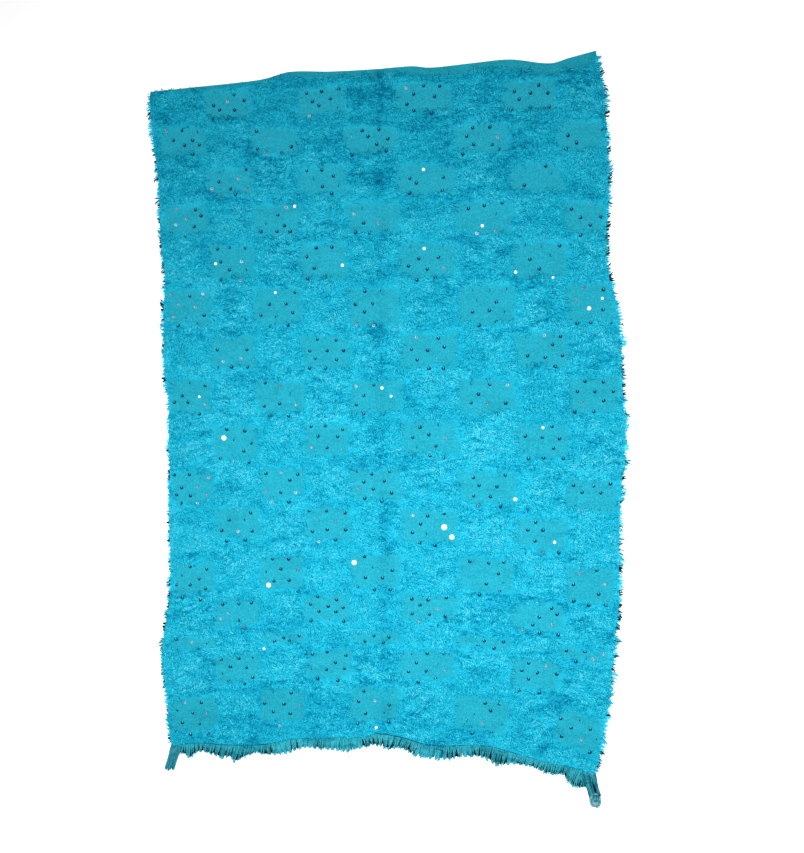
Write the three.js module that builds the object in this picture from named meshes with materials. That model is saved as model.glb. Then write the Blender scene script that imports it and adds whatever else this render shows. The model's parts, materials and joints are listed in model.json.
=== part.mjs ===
// A handira: a hand-woven wool wedding blanket with shag, flat woven cells and fringe,
// laid flat on a surface with its shag side up.
// Lengths are millimetres. X runs across the blanket, Y up its length, and Z up from the
// surface. The tables are taken from a point near the blanket's middle, and the finished
// group is moved so that its origin is the middle of the whole thing, at the surface.
import * as THREE from "three";

// The cloth
const GROUND = 3;
const SHAG = 10;
const SHAG_LUMP = 2.2;
const SHAG_RIM = 7;
const HEM_RIM = 5;
const CELL_WIDTH = 130;
const CELL_STEP = 8;
const HEADER_LEFT = 5;
const HEADER_RIGHT = 30;
const EDGE_WANDER = 2.4;
const SIDE_CLEARANCE = 8;

// The fold down the middle of the blanket
const CREASE_TOP_X = -66;
const CREASE_FOOT_X = -46;
const CREASE_DEPTH = 3;
const CREASE_WIDTH = 16;

// Edgings, each a narrow backing with its own locks or strands
const PARTING = 0.4;
const BACKING_WIDTH = 4;
const BACKING_HEIGHT = 4;
const SIDE_BACKING_WIDTH = 3;
const SIDE_BACKING_HEIGHT = 5;
const FRINGE_STRANDS = 128;
const FRINGE_LENGTH = 34;
const FRINGE_STRAND_SHARE = 0.72;
const SIDE_LOCKS = 56;
const SIDE_LOCK_LENGTH = 9;
const SIDE_LOCK_SHARE = 0.55;

const UNDERSIDE = 0;
const COLUMN_COUNT = 9;

// Side edges of the cloth, from the top down: where each edge lies at height y.
const SIDES = [
  { y: 1012, left: -740, right: 531 },
  { y: 980, left: -741, right: 534 },
  { y: 937, left: -742, right: 545 },
  { y: 883, left: -737, right: 552 },
  { y: 800, left: -727, right: 556 },
  { y: 690, left: -713, right: 561 },
  { y: 600, left: -711, right: 562 },
  { y: 504, left: -704, right: 555 },
  { y: 425, left: -695, right: 560 },
  { y: 341, left: -700, right: 581 },
  { y: 287, left: -699, right: 590 },
  { y: 190, left: -698, right: 594 },
  { y: 71, left: -684, right: 601 },
  { y: -36, left: -683, right: 606 },
  { y: -150, left: -681, right: 597 },
  { y: -260, left: -683, right: 591 },
  { y: -380, left: -679, right: 590 },
  { y: -500, left: -681, right: 588 },
  { y: -576, left: -694, right: 577 },
  { y: -680, left: -704, right: 569 },
  { y: -780, left: -689, right: 557 },
  { y: -850, left: -685, right: 545 },
  { y: -902, left: -680, right: 537 },
  { y: -944, left: -672, right: 524 },
];

// Top edge of the cloth, left to right.
const TOP_EDGE = [
  { x: -742, y: 976 },
  { x: -621, y: 982 },
  { x: -500, y: 987 },
  { x: -400, y: 994 },
  { x: -323, y: 1010 },
  { x: -206, y: 1004 },
  { x: -84, y: 1003 },
  { x: 28, y: 1005 },
  { x: 79, y: 998 },
  { x: 190, y: 1003 },
  { x: 300, y: 1007 },
  { x: 408, y: 990 },
  { x: 461, y: 1002 },
  { x: 531, y: 1017 },
];

// Lower edge of the cloth, where the fringe starts, left to right.
const HEM = [
  { x: -672, y: -930 },
  { x: -643, y: -922 },
  { x: -600, y: -916 },
  { x: -500, y: -917 },
  { x: -393, y: -909 },
  { x: -320, y: -891 },
  { x: -215, y: -882 },
  { x: -114, y: -875 },
  { x: -71, y: -863 },
  { x: 0, y: -869 },
  { x: 60, y: -884 },
  { x: 115, y: -887 },
  { x: 190, y: -880 },
  { x: 235, y: -880 },
  { x: 300, y: -893 },
  { x: 394, y: -915 },
  { x: 470, y: -927 },
  { x: 524, y: -944 },
];

// Middle of each column of flat cells, at the top, half way down and at the foot.
const COLUMNS = [
  { top: -644, middle: -619, foot: -612 },
  { top: -508, middle: -486, foot: -472 },
  { top: -372, middle: -350, foot: -345 },
  { top: -232, middle: -215, foot: -212 },
  { top: -95, middle: -80, foot: -82 },
  { top: 62, middle: 74, foot: 66 },
  { top: 215, middle: 243, foot: 221 },
  { top: 351, middle: 392, foot: 361 },
  { top: 488, middle: 524, foot: 476 },
];
const COLUMN_TOP_Y = 950;
const COLUMN_FOOT_Y = -900;

// Rows of flat cells from the top down: height of the row at the left edge, in the middle
// and at the right edge, and how tall its cells are.
const ROWS = [
  { left: 928, middle: 919, right: 902, tall: 76 },
  { left: 832, middle: 806, right: 788, tall: 72 },
  { left: 710, middle: 694, right: 674, tall: 75 },
  { left: 600, middle: 588, right: 563, tall: 78 },
  { left: 475, middle: 467, right: 450, tall: 95 },
  { left: 346, middle: 339, right: 337, tall: 98 },
  { left: 218, middle: 211, right: 213, tall: 90 },
  { left: 87, middle: 84, right: 88, tall: 92 },
  { left: -60, middle: -34, right: -44, tall: 90 },
  { left: -182, middle: -160, right: -194, tall: 84 },
  { left: -284, middle: -275, right: -305, tall: 86 },
  { left: -452, middle: -403, right: -437, tall: 90 },
  { left: -570, middle: -505, right: -545, tall: 70 },
  { left: -640, middle: -590, right: -628, tall: 30 },
  { left: -730, middle: -664, right: -696, tall: 76 },
  { left: -850, middle: -780, right: -840, tall: 88 },
];

// Bundles of the tails at the two lower corners: how far each starts along its head, how
// wide it is, how far it reaches and how far its end leans to the right.
const LEFT_TAIL = [
  { start: 1, width: 7, reach: 68, lean: -27, end: 3 },
  { start: 9.5, width: 7, reach: 74, lean: -24, end: 3.5 },
  { start: 18, width: 6, reach: 63, lean: -22, end: 3 },
];
const RIGHT_TAIL = [
  { start: 1, width: 18, reach: 94, lean: 12, end: 26 },
  { start: 22, width: 9, reach: 62, lean: 9, end: 7 },
];
const LEFT_TAIL_SPAN = [2, 28];
const RIGHT_TAIL_SPAN = [34, 2];
const TAIL_HEIGHT = 9;
const TAIL_RINGS = 6;
const TAIL_GAP = 3;

const COLOURS = { cloth: 0x1fb2d1, fringe: 0x1d97b3, locks: 0x18a6c6, tail: 0x2a93a8 };

// Smooth value of a table's column at one place, by cubic pieces through its rows.
function reading(table, key, column, at) {
  const rising = table[0][key] < table[table.length - 1][key];
  const rows = rising ? table : [...table].reverse();
  const last = rows.length - 1;
  let i = 0;
  while (i < last - 1 && at > rows[i + 1][key]) i += 1;
  const slope = (a, b) => (rows[b][column] - rows[a][column]) / (rows[b][key] - rows[a][key]);
  const span = rows[i + 1][key] - rows[i][key];
  const t = THREE.MathUtils.clamp((at - rows[i][key]) / span, 0, 1);
  const before = slope(Math.max(i - 1, 0), i + 1) * span;
  const after = slope(i, Math.min(i + 2, last)) * span;
  const a = rows[i][column];
  const b = rows[i + 1][column];
  return a + t * (before + t * (3 * (b - a) - 2 * before - after + t * (2 * (a - b) + before + after)));
}

// Curve through three values, at shares 0, one half and 1.
function bow(first, middle, last, share) {
  return first * (1 - share) * (1 - 2 * share) + middle * 4 * share * (1 - share) + last * share * (2 * share - 1);
}

const leftAt = (y) => reading(SIDES, "y", "left", y);
const rightAt = (y) => reading(SIDES, "y", "right", y);
const columnAt = (column, y) => {
  const share = THREE.MathUtils.clamp((COLUMN_TOP_Y - y) / (COLUMN_TOP_Y - COLUMN_FOOT_Y), 0, 1);
  return bow(COLUMNS[column].top, COLUMNS[column].middle, COLUMNS[column].foot, share);
};
const acrossShare = (x, y) => (x - leftAt(y)) / (rightAt(y) - leftAt(y));
const topAt = (x) => reading(TOP_EDGE, "x", "y", x);
const hemAt = (x) => reading(HEM, "x", "y", x);

// Boundary before each column, and the one after the last.
function boundaryAt(index, y) {
  const half = CELL_WIDTH / 2;
  if (index === 0) return Math.max(columnAt(0, y) - half, leftAt(y) + SIDE_CLEARANCE);
  if (index === COLUMN_COUNT) {
    return Math.min(columnAt(COLUMN_COUNT - 1, y) + half, rightAt(y) - SIDE_CLEARANCE);
  }
  return (columnAt(index - 1, y) + columnAt(index, y)) / 2;
}

// Lines that run down the cloth, from its left to its right edge. Each gives its x at
// height y, and the column of flat cells that it lies in, or none.
function downLines() {
  const step = CELL_STEP / 2;
  const lines = [{ column: null, x: leftAt }];
  for (let index = 0; index <= COLUMN_COUNT; index += 1) {
    const before = index > 0 ? index - 1 : null;
    const after = index < COLUMN_COUNT ? index : null;
    lines.push({ column: before, x: (y) => boundaryAt(index, y) - step });
    lines.push({ column: after, x: (y) => boundaryAt(index, y) + step });
    if (after === null) continue;
    for (const share of [1 / 3, 2 / 3]) {
      lines.push({
        column: after,
        x: (y) => THREE.MathUtils.lerp(boundaryAt(index, y), boundaryAt(index + 1, y), share),
      });
    }
  }
  lines.push({ column: null, x: rightAt });
  return lines;
}

// Lines that run across the cloth, from its top edge to its hem. Each gives its height
// at a place, and the row of flat cells that it lies in, or none.
function acrossLines() {
  const step = CELL_STEP / 2;
  const middle = (row, x, y) => bow(ROWS[row].left, ROWS[row].middle, ROWS[row].right, acrossShare(x, y));
  const upper = (row, x, y) => middle(row, x, y) + ROWS[row].tall / 2;
  const lower = (row, x, y) => middle(row, x, y) - ROWS[row].tall / 2;
  const header = (x, y) => {
    const room = topAt(x) - upper(0, x, y) - step;
    return Math.min(THREE.MathUtils.lerp(HEADER_LEFT, HEADER_RIGHT, acrossShare(x, y)), room * 0.45);
  };
  const lines = [
    { row: "header", y: (x) => topAt(x) },
    { row: "header", y: (x, y) => topAt(x) - header(x, y) * 0.8 },
    { row: null, y: (x, y) => topAt(x) - header(x, y) * 1.2 },
    { row: null, y: (x, y) => (topAt(x) - header(x, y) + upper(0, x, y) + step) / 2 },
  ];
  ROWS.forEach((_, row) => {
    lines.push({ row: null, y: (x, y) => upper(row, x, y) + step });
    lines.push({ row, y: (x, y) => upper(row, x, y) - step });
    lines.push({ row, y: (x, y) => middle(row, x, y) });
    lines.push({ row, y: (x, y) => lower(row, x, y) + step });
    lines.push({ row: null, y: (x, y) => lower(row, x, y) - step });
    const next = row + 1 < ROWS.length ? (x, y) => upper(row + 1, x, y) : (x) => hemAt(x) - step;
    lines.push({ row: null, y: (x, y) => (lower(row, x, y) + next(x, y)) / 2 });
  });
  lines.push({ row: "hem", y: (x) => hemAt(x) });
  return lines;
}

// Soft uneven lumps, from -1 to 1.
function lumps(x, y) {
  const slow = Math.sin(x / 41 + 1.7 * Math.sin(y / 57)) * Math.cos(y / 37 + 1.3 * Math.sin(x / 63));
  const quick = Math.sin(x / 17 + y / 23 + 2) * Math.sin(y / 13 - x / 29);
  return 0.6 * slow + 0.4 * quick;
}

// How deep the middle fold lies at a place.
function crease(x, y) {
  const share = (COLUMN_TOP_Y - y) / (COLUMN_TOP_Y - COLUMN_FOOT_Y);
  const away = (x - THREE.MathUtils.lerp(CREASE_TOP_X, CREASE_FOOT_X, share)) / CREASE_WIDTH;
  return CREASE_DEPTH * Math.exp(-away * away);
}

// Height of the cloth's upper face where two lines cross.
function clothHeight(down, across, x, y, atRim) {
  if (across.row === "header") return GROUND;
  const cell = across.row !== null && down.column !== null && (across.row + down.column) % 2 === 1;
  if (cell) return GROUND;
  if (across.row === "hem") return HEM_RIM + 0.5 * lumps(x, y);
  if (atRim) return SHAG_RIM + 0.8 * lumps(x, y);
  return SHAG + SHAG_LUMP * lumps(x, y) - crease(x, y);
}

// Adds one four-cornered face, given so that it turns anticlockwise seen from outside.
function addQuad(faces, a, b, c, d) {
  faces.push(a, b, c, a, c, d);
}

// Turns points and faces into a geometry with its normals.
function solidFrom(points, faces) {
  const geometry = new THREE.BufferGeometry();
  geometry.setAttribute("position", new THREE.Float32BufferAttribute(points.flat(), 3));
  geometry.setIndex(faces);
  geometry.computeVertexNormals();
  return geometry;
}

// The cloth: a grid of crossing lines for its upper face, an upright rim and a flat
// underside. Gives its geometry and its edges as rows of points.
function makeCloth() {
  const downs = downLines();
  const acrosses = acrossLines();
  const columns = downs.length;
  const points = [];
  acrosses.forEach((across, i) => {
    downs.forEach((down, j) => {
      const atTop = i === 0;
      const atHem = i === acrosses.length - 1;
      const atSide = j === 0 || j === columns - 1;
      const levelX = THREE.MathUtils.lerp(leftAt(0), rightAt(0), j / (columns - 1));
      let y = across.y(levelX, atTop ? TOP_EDGE[0].y : HEM[0].y);
      let x = levelX;
      for (let pass = 0; pass < 4; pass += 1) {
        x = down.x(y);
        y = across.y(x, y);
      }
      if (!atTop && !atHem && !atSide) {
        x += EDGE_WANDER * Math.sin(y / 17 + x / 29);
        y += EDGE_WANDER * Math.sin(x / 19 - y / 37) * (across.row === "header" ? 0.2 : 1);
      }
      points.push([x, y, clothHeight(down, across, x, y, atSide)]);
    });
  });

  const faces = [];
  const at = (i, j) => i * columns + j;
  const lastRow = acrosses.length - 1;
  const lastColumn = columns - 1;
  for (let i = 0; i < lastRow; i += 1) {
    for (let j = 0; j < lastColumn; j += 1) {
      addQuad(faces, at(i, j), at(i + 1, j), at(i + 1, j + 1), at(i, j + 1));
    }
  }

  const left = acrosses.map((_, i) => at(i, 0));
  const foot = downs.map((_, j) => at(lastRow, j));
  const right = acrosses.map((_, i) => at(lastRow - i, lastColumn));
  const top = downs.map((_, j) => at(0, lastColumn - j));
  const rim = [left, foot, right, top].flatMap((side) => side.slice(0, -1));
  const base = points.length;
  rim.forEach((index) => points.push([points[index][0], points[index][1], UNDERSIDE]));
  rim.forEach((index, k) => {
    const next = (k + 1) % rim.length;
    addQuad(faces, index, base + k, base + next, rim[next]);
  });
  const outline = rim.map((index) => new THREE.Vector2(points[index][0], points[index][1]));
  THREE.ShapeUtils.triangulateShape(outline, []).forEach(([a, b, c]) => {
    faces.push(base + a, base + c, base + b);
  });

  const flat = (indices) => indices.map((index) => new THREE.Vector2(points[index][0], points[index][1]));
  return { geometry: solidFrom(points, faces), left: flat(left), foot: flat(foot), right: flat(right) };
}

// A row of points as a path that is read by its length.
function pathOf(points) {
  const lengths = [0];
  points.slice(1).forEach((point, i) => lengths.push(lengths[i] + point.distanceTo(points[i])));
  const total = lengths[lengths.length - 1];
  const place = (distance) => {
    let i = 0;
    while (i < points.length - 2 && distance > lengths[i + 1]) i += 1;
    const share = (distance - lengths[i]) / (lengths[i + 1] - lengths[i]);
    return points[i].clone().lerp(points[i + 1], share);
  };
  // The way out of the cloth, to the right of the way along, from a stretch around the place
  const outward = (distance) => {
    const reach = 12;
    const from = place(Math.max(distance - reach, 0));
    const to = place(Math.min(distance + reach, total));
    const along = to.sub(from).normalize();
    return new THREE.Vector2(along.y, -along.x);
  };
  return { total, place, outward };
}

// A backing along an edge with its strands: one closed solid. Each strand grows out of
// the backing's outer wall and rests on the surface all the way. A strand has where it
// starts and ends along the path, and rings with how far out each lies, how far it has
// shifted along the path, and its width and height.
function makeEdging(path, from, to, width, height, strands) {
  const points = [];
  const faces = [];
  const stations = [from];
  strands.forEach((strand) => stations.push(strand.from, strand.to));
  stations.push(to);
  const pointAt = (distance, out, shift, z) => {
    const normal = path.outward(distance);
    const spot = path.place(distance).addScaledVector(normal, out);
    return [spot.x - normal.y * shift, spot.y + normal.x * shift, z];
  };
  // Four corners of the backing at each station: inner low, outer low, outer high, inner high
  const backing = stations.map((distance) => {
    const first = points.length;
    points.push(pointAt(distance, PARTING, 0, UNDERSIDE));
    points.push(pointAt(distance, PARTING + width, 0, UNDERSIDE));
    points.push(pointAt(distance, PARTING + width, 0, height));
    points.push(pointAt(distance, PARTING, 0, height));
    return [first, first + 1, first + 2, first + 3];
  });
  backing.slice(1).forEach((near, k) => {
    const far = backing[k];
    addQuad(faces, far[0], near[0], near[1], far[1]);
    addQuad(faces, far[2], near[2], near[3], far[3]);
    addQuad(faces, far[3], near[3], near[0], far[0]);
    const strand = k % 2 === 1 ? strands[(k - 1) / 2] : null;
    if (strand === null) {
      addQuad(faces, far[1], near[1], near[2], far[2]);
      return;
    }
    const middle = (strand.from + strand.to) / 2;
    let ring = [far[1], near[1], near[2], far[2]];
    strand.rings.forEach((section) => {
      const first = points.length;
      const out = PARTING + width + section.out;
      const start = section.shift - section.width / 2;
      const end = section.shift + section.width / 2;
      points.push(pointAt(middle, out, start, UNDERSIDE));
      points.push(pointAt(middle, out, end, UNDERSIDE));
      points.push(pointAt(middle, out, end, section.height));
      points.push(pointAt(middle, out, start, section.height));
      const next = [first, first + 1, first + 2, first + 3];
      ring.forEach((corner, side) => {
        const turn = (side + 1) % 4;
        addQuad(faces, corner, ring[turn], next[turn], next[side]);
      });
      ring = next;
    });
    addQuad(faces, ring[0], ring[1], ring[2], ring[3]);
  });
  const start = backing[0];
  const finish = backing[backing.length - 1];
  addQuad(faces, start[0], start[1], start[2], start[3]);
  addQuad(faces, finish[0], finish[3], finish[2], finish[1]);
  return solidFrom(points, faces);
}

// Numbers from 0 to 1 that are the same on every run.
function randomFrom(seed) {
  let state = seed;
  return () => {
    state = (state * 16807) % 2147483647;
    return state / 2147483647;
  };
}

// Evenly spaced strands between two places on a path, uneven in length and lean.
function rowOfStrands(from, to, count, share, shape) {
  const pitch = (to - from) / count;
  return Array.from({ length: count }, (_, k) => {
    const middle = from + pitch * (k + 0.5);
    const half = (pitch * share) / 2;
    return { from: middle - half, to: middle + half, rings: shape(k, pitch, 2 * half) };
  });
}

// The fringe along the hem between its two corner tails.
function makeFringe(foot) {
  const random = randomFrom(71);
  const path = pathOf(foot);
  const from = LEFT_TAIL_SPAN[1] + TAIL_GAP;
  const to = path.total - RIGHT_TAIL_SPAN[0] - TAIL_GAP;
  const strands = rowOfStrands(from + 1, to - 1, FRINGE_STRANDS, FRINGE_STRAND_SHARE, (k, pitch, width) => {
    const length = FRINGE_LENGTH * (0.82 + 0.22 * Math.sin(k / 4.1) + 0.16 * Math.sin(k / 1.7 + 2) + 0.22 * random());
    const lean = 5 * Math.sin(k / 9 + 1) - 2;
    const thick = 3.6 + 1.2 * random();
    return [
      { out: length * 0.5, shift: lean * 0.4, width: width * 1.06, height: thick },
      { out: length, shift: lean, width: width * 0.5, height: 1.6 },
    ];
  });
  return makeEdging(path, from, to, BACKING_WIDTH, BACKING_HEIGHT, strands);
}

// The locks of shag that hang over one side edge.
function makeSideLocks(edge, seed) {
  const random = randomFrom(seed);
  const path = pathOf(edge);
  const clear = 26;
  const strands = rowOfStrands(clear + 1, path.total - clear - 1, SIDE_LOCKS, SIDE_LOCK_SHARE, (k, pitch, width) => {
    const bold = random() > 0.86 ? 1.7 : 1;
    const length = SIDE_LOCK_LENGTH * (0.55 + 0.7 * random()) * bold;
    const lean = 5 * (random() - 0.5);
    return [
      { out: length * 0.6, shift: lean * 0.5, width: width * (0.7 + 0.2 * random()), height: 4.4 },
      { out: length, shift: lean, width: width * 0.35, height: 1.8 },
    ];
  });
  return makeEdging(path, clear, path.total - clear, SIDE_BACKING_WIDTH, SIDE_BACKING_HEIGHT, strands);
}

// A tail of a few thick bundles that grow out of one head. A bundle with a wide end
// curls up into a knot there.
function makeTail(foot, from, to, bundles) {
  const path = pathOf(foot);
  const strands = bundles.map((bundle) => {
    const knotted = bundle.end > bundle.width;
    const rings = Array.from({ length: TAIL_RINGS }, (_, k) => {
      const share = (k + 1) / TAIL_RINGS;
      const swell = knotted ? THREE.MathUtils.smoothstep(share, 0.66, 0.84) : 0;
      const blunt = THREE.MathUtils.smoothstep(share, 0.85, 1.05);
      const width = THREE.MathUtils.lerp(bundle.width, bundle.end, knotted ? swell : share);
      return {
        out: bundle.reach * share,
        shift: bundle.lean * share ** 1.3 + (knotted ? swell * 3 : 0),
        width: width * (1 - 0.45 * blunt),
        height: TAIL_HEIGHT * (1 + 0.3 * swell - 0.4 * blunt),
      };
    });
    return { from: from + bundle.start, to: from + bundle.start + bundle.width, rings };
  });
  return makeEdging(path, from, to, BACKING_WIDTH, TAIL_HEIGHT, strands);
}

function meshOf(name, geometry, colour, roughness) {
  const material = new THREE.MeshStandardMaterial({ color: colour, roughness, metalness: 0 });
  const mesh = new THREE.Mesh(geometry, material);
  mesh.name = name;
  return mesh;
}

function makeBlanket() {
  const cloth = makeCloth();
  const total = pathOf(cloth.foot).total;
  const blanket = new THREE.Group();
  blanket.add(meshOf("blanket_cloth", cloth.geometry, COLOURS.cloth, 0.95));
  blanket.add(meshOf("bottom_fringe", makeFringe(cloth.foot), COLOURS.fringe, 0.95));
  blanket.add(meshOf("left_edge_locks", makeSideLocks(cloth.left, 19), COLOURS.locks, 0.95));
  blanket.add(meshOf("right_edge_locks", makeSideLocks(cloth.right, 43), COLOURS.locks, 0.95));
  const leftTail = makeTail(cloth.foot, ...LEFT_TAIL_SPAN, LEFT_TAIL);
  const rightTail = makeTail(cloth.foot, total - RIGHT_TAIL_SPAN[0], total - RIGHT_TAIL_SPAN[1], RIGHT_TAIL);
  blanket.add(meshOf("left_corner_tail", leftTail, COLOURS.tail, 0.9));
  blanket.add(meshOf("right_corner_tail", rightTail, COLOURS.tail, 0.9));
  const middle = new THREE.Box3().setFromObject(blanket).getCenter(new THREE.Vector3());
  blanket.position.set(-middle.x, -middle.y, 0);
  return blanket;
}

const blanket = makeBlanket();

export default blanket;
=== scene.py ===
"""A turquoise handira laid flat with its shag side up.

The blanket is a woven cloth. Shag covers it, except in a plain header along the top edge
and in a checkerboard of flat woven cells that carry small cupped discs. Its warp ends
hang out below the hem as a fringe, with a long tail at each lower corner.

Plan sizes are millimetres, with x across the blanket and y up its length. Meshes are in
metres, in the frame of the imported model.
"""

from __future__ import annotations

import json
import logging
import math
import random
from dataclasses import dataclass, field
from enum import Enum
from typing import NamedTuple, Sequence

import bpy
import numpy as np
from mathutils import Euler, Matrix, Vector, geometry

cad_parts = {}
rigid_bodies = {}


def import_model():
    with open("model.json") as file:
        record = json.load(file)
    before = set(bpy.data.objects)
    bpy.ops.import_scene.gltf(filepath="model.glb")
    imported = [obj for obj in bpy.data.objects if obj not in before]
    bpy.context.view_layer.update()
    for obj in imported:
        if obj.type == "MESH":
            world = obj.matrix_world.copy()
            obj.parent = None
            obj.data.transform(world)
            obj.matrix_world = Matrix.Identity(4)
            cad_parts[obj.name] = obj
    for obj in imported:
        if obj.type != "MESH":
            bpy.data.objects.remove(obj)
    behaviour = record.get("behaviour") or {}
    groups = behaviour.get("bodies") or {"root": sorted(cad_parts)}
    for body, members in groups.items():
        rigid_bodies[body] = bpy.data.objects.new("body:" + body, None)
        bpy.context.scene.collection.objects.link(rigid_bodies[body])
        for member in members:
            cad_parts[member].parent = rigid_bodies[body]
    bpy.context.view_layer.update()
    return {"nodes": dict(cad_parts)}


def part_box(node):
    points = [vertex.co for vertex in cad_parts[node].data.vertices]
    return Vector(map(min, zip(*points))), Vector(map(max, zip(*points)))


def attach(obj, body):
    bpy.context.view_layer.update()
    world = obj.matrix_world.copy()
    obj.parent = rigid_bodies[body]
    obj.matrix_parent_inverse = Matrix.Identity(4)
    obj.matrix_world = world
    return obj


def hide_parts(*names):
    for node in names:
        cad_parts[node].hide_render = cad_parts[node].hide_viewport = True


LOG = logging.getLogger("handira")
MM = 0.001
BODY = "root"


class Edge(Enum):
    """The two long edges of the blanket, by the way that is out of the cloth."""

    LEFT = -1
    RIGHT = 1


class SideStation(NamedTuple):
    """Where both side edges of the cloth lie at one height."""

    y: float
    left: float
    right: float


class EdgePoint(NamedTuple):
    """One point of the top edge or the hem."""

    x: float
    y: float


class CellColumn(NamedTuple):
    """Middle of a column of flat cells, at the top, half way down and at the foot."""

    top: float
    middle: float
    foot: float


class CellRow(NamedTuple):
    """Height of a row of flat cells at both edges and in the middle, and its cells' height."""

    left: float
    middle: float
    right: float
    tall: float


class FringeStation(NamedTuple):
    """How long the fringe is at one place across."""

    x: float
    length: float


class PaintedGlint(NamedTuple):
    """A disc with a painted glint: its place, and how large it looks."""

    x: float
    y: float
    size: float


SIDES = (
    SideStation(1012, -740, 531),
    SideStation(980, -741, 534),
    SideStation(937, -742, 545),
    SideStation(883, -737, 552),
    SideStation(800, -727, 556),
    SideStation(690, -713, 561),
    SideStation(600, -711, 562),
    SideStation(504, -704, 555),
    SideStation(425, -695, 560),
    SideStation(341, -700, 581),
    SideStation(287, -699, 590),
    SideStation(190, -698, 594),
    SideStation(71, -684, 601),
    SideStation(-36, -683, 606),
    SideStation(-150, -681, 597),
    SideStation(-260, -683, 591),
    SideStation(-380, -679, 590),
    SideStation(-500, -681, 588),
    SideStation(-576, -694, 577),
    SideStation(-680, -704, 569),
    SideStation(-780, -689, 557),
    SideStation(-850, -685, 545),
    SideStation(-902, -680, 537),
    SideStation(-944, -672, 524),
)
TOP_EDGE = (
    EdgePoint(-742, 976),
    EdgePoint(-621, 982),
    EdgePoint(-500, 987),
    EdgePoint(-400, 994),
    EdgePoint(-323, 1010),
    EdgePoint(-206, 1004),
    EdgePoint(-84, 1003),
    EdgePoint(28, 1005),
    EdgePoint(79, 998),
    EdgePoint(190, 1003),
    EdgePoint(300, 1007),
    EdgePoint(408, 990),
    EdgePoint(461, 1002),
    EdgePoint(531, 1017),
)
HEM = (
    EdgePoint(-672, -930),
    EdgePoint(-643, -922),
    EdgePoint(-600, -916),
    EdgePoint(-500, -917),
    EdgePoint(-393, -909),
    EdgePoint(-320, -891),
    EdgePoint(-215, -882),
    EdgePoint(-114, -875),
    EdgePoint(-71, -863),
    EdgePoint(0, -869),
    EdgePoint(60, -884),
    EdgePoint(115, -887),
    EdgePoint(190, -880),
    EdgePoint(235, -880),
    EdgePoint(300, -893),
    EdgePoint(394, -915),
    EdgePoint(470, -927),
    EdgePoint(524, -944),
)
FRINGE_LENGTHS = (
    FringeStation(-660, 30),
    FringeStation(-635, 32),
    FringeStation(-618, 46),
    FringeStation(-588, 28),
    FringeStation(-550, 34),
    FringeStation(-512, 45),
    FringeStation(-492, 40),
    FringeStation(-471, 52),
    FringeStation(-426, 29),
    FringeStation(-380, 34),
    FringeStation(-347, 41),
    FringeStation(-282, 31),
    FringeStation(-220, 34),
    FringeStation(-163, 42),
    FringeStation(-115, 33),
    FringeStation(-71, 36),
    FringeStation(-28, 44),
    FringeStation(10, 36),
    FringeStation(51, 41),
    FringeStation(123, 42),
    FringeStation(206, 34),
    FringeStation(240, 40),
    FringeStation(272, 50),
    FringeStation(320, 34),
    FringeStation(367, 27),
    FringeStation(421, 37),
    FringeStation(451, 30),
    FringeStation(475, 50),
    FringeStation(500, 52),
    FringeStation(524, 34),
)
COLUMNS = (
    CellColumn(-644, -619, -612),
    CellColumn(-508, -486, -472),
    CellColumn(-372, -350, -345),
    CellColumn(-232, -215, -212),
    CellColumn(-95, -80, -82),
    CellColumn(62, 74, 66),
    CellColumn(215, 243, 221),
    CellColumn(351, 392, 361),
    CellColumn(488, 524, 476),
)
ROWS = (
    CellRow(928, 919, 902, 76),
    CellRow(832, 806, 788, 72),
    CellRow(710, 694, 674, 75),
    CellRow(600, 588, 563, 78),
    CellRow(475, 467, 450, 95),
    CellRow(346, 339, 337, 98),
    CellRow(218, 211, 213, 90),
    CellRow(87, 84, 88, 92),
    CellRow(-60, -34, -44, 90),
    CellRow(-182, -160, -194, 84),
    CellRow(-284, -275, -305, 86),
    CellRow(-452, -403, -437, 90),
    CellRow(-570, -505, -545, 70),
    CellRow(-640, -590, -628, 30),
    CellRow(-730, -664, -696, 76),
    CellRow(-850, -780, -840, 88),
)
# The discs that are painted with a glint
PAINTED_GLINTS = (
    PaintedGlint(61, 715, 0.88),
    PaintedGlint(-307, 626, 0.88),
    PaintedGlint(224, 553, 0.88),
    PaintedGlint(63, 495, 0.88),
    PaintedGlint(315, 423, 0.88),
    PaintedGlint(512, 320, 1.1),
    PaintedGlint(-56, 108, 0.88),
    PaintedGlint(-30, 85, 0.72),
    PaintedGlint(-517, -33, 1.5),
    PaintedGlint(314, -199, 1.1),
    PaintedGlint(140, -306, 1.5),
    PaintedGlint(119, -279, 1.7),
    PaintedGlint(-135, -383, 1.5),
    PaintedGlint(-384, -453, 1.4),
    PaintedGlint(420, -315, 0.88),
    PaintedGlint(-542, 469, 0.8),
    PaintedGlint(-169, 455, 0.88),
    PaintedGlint(416, 405, 0.72),
    PaintedGlint(547, 346, 0.72),
    PaintedGlint(-364, 382, 0.72),
    PaintedGlint(-591, 86, 0.72),
    PaintedGlint(389, -3, 0.8),
    PaintedGlint(-395, -633, 0.8),
    PaintedGlint(-71, -841, 0.8),
)


def column(table: Sequence[NamedTuple], name: str) -> np.ndarray:
    """One named column of a table, as numbers."""
    return np.array([getattr(row, name) for row in table], float)


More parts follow.
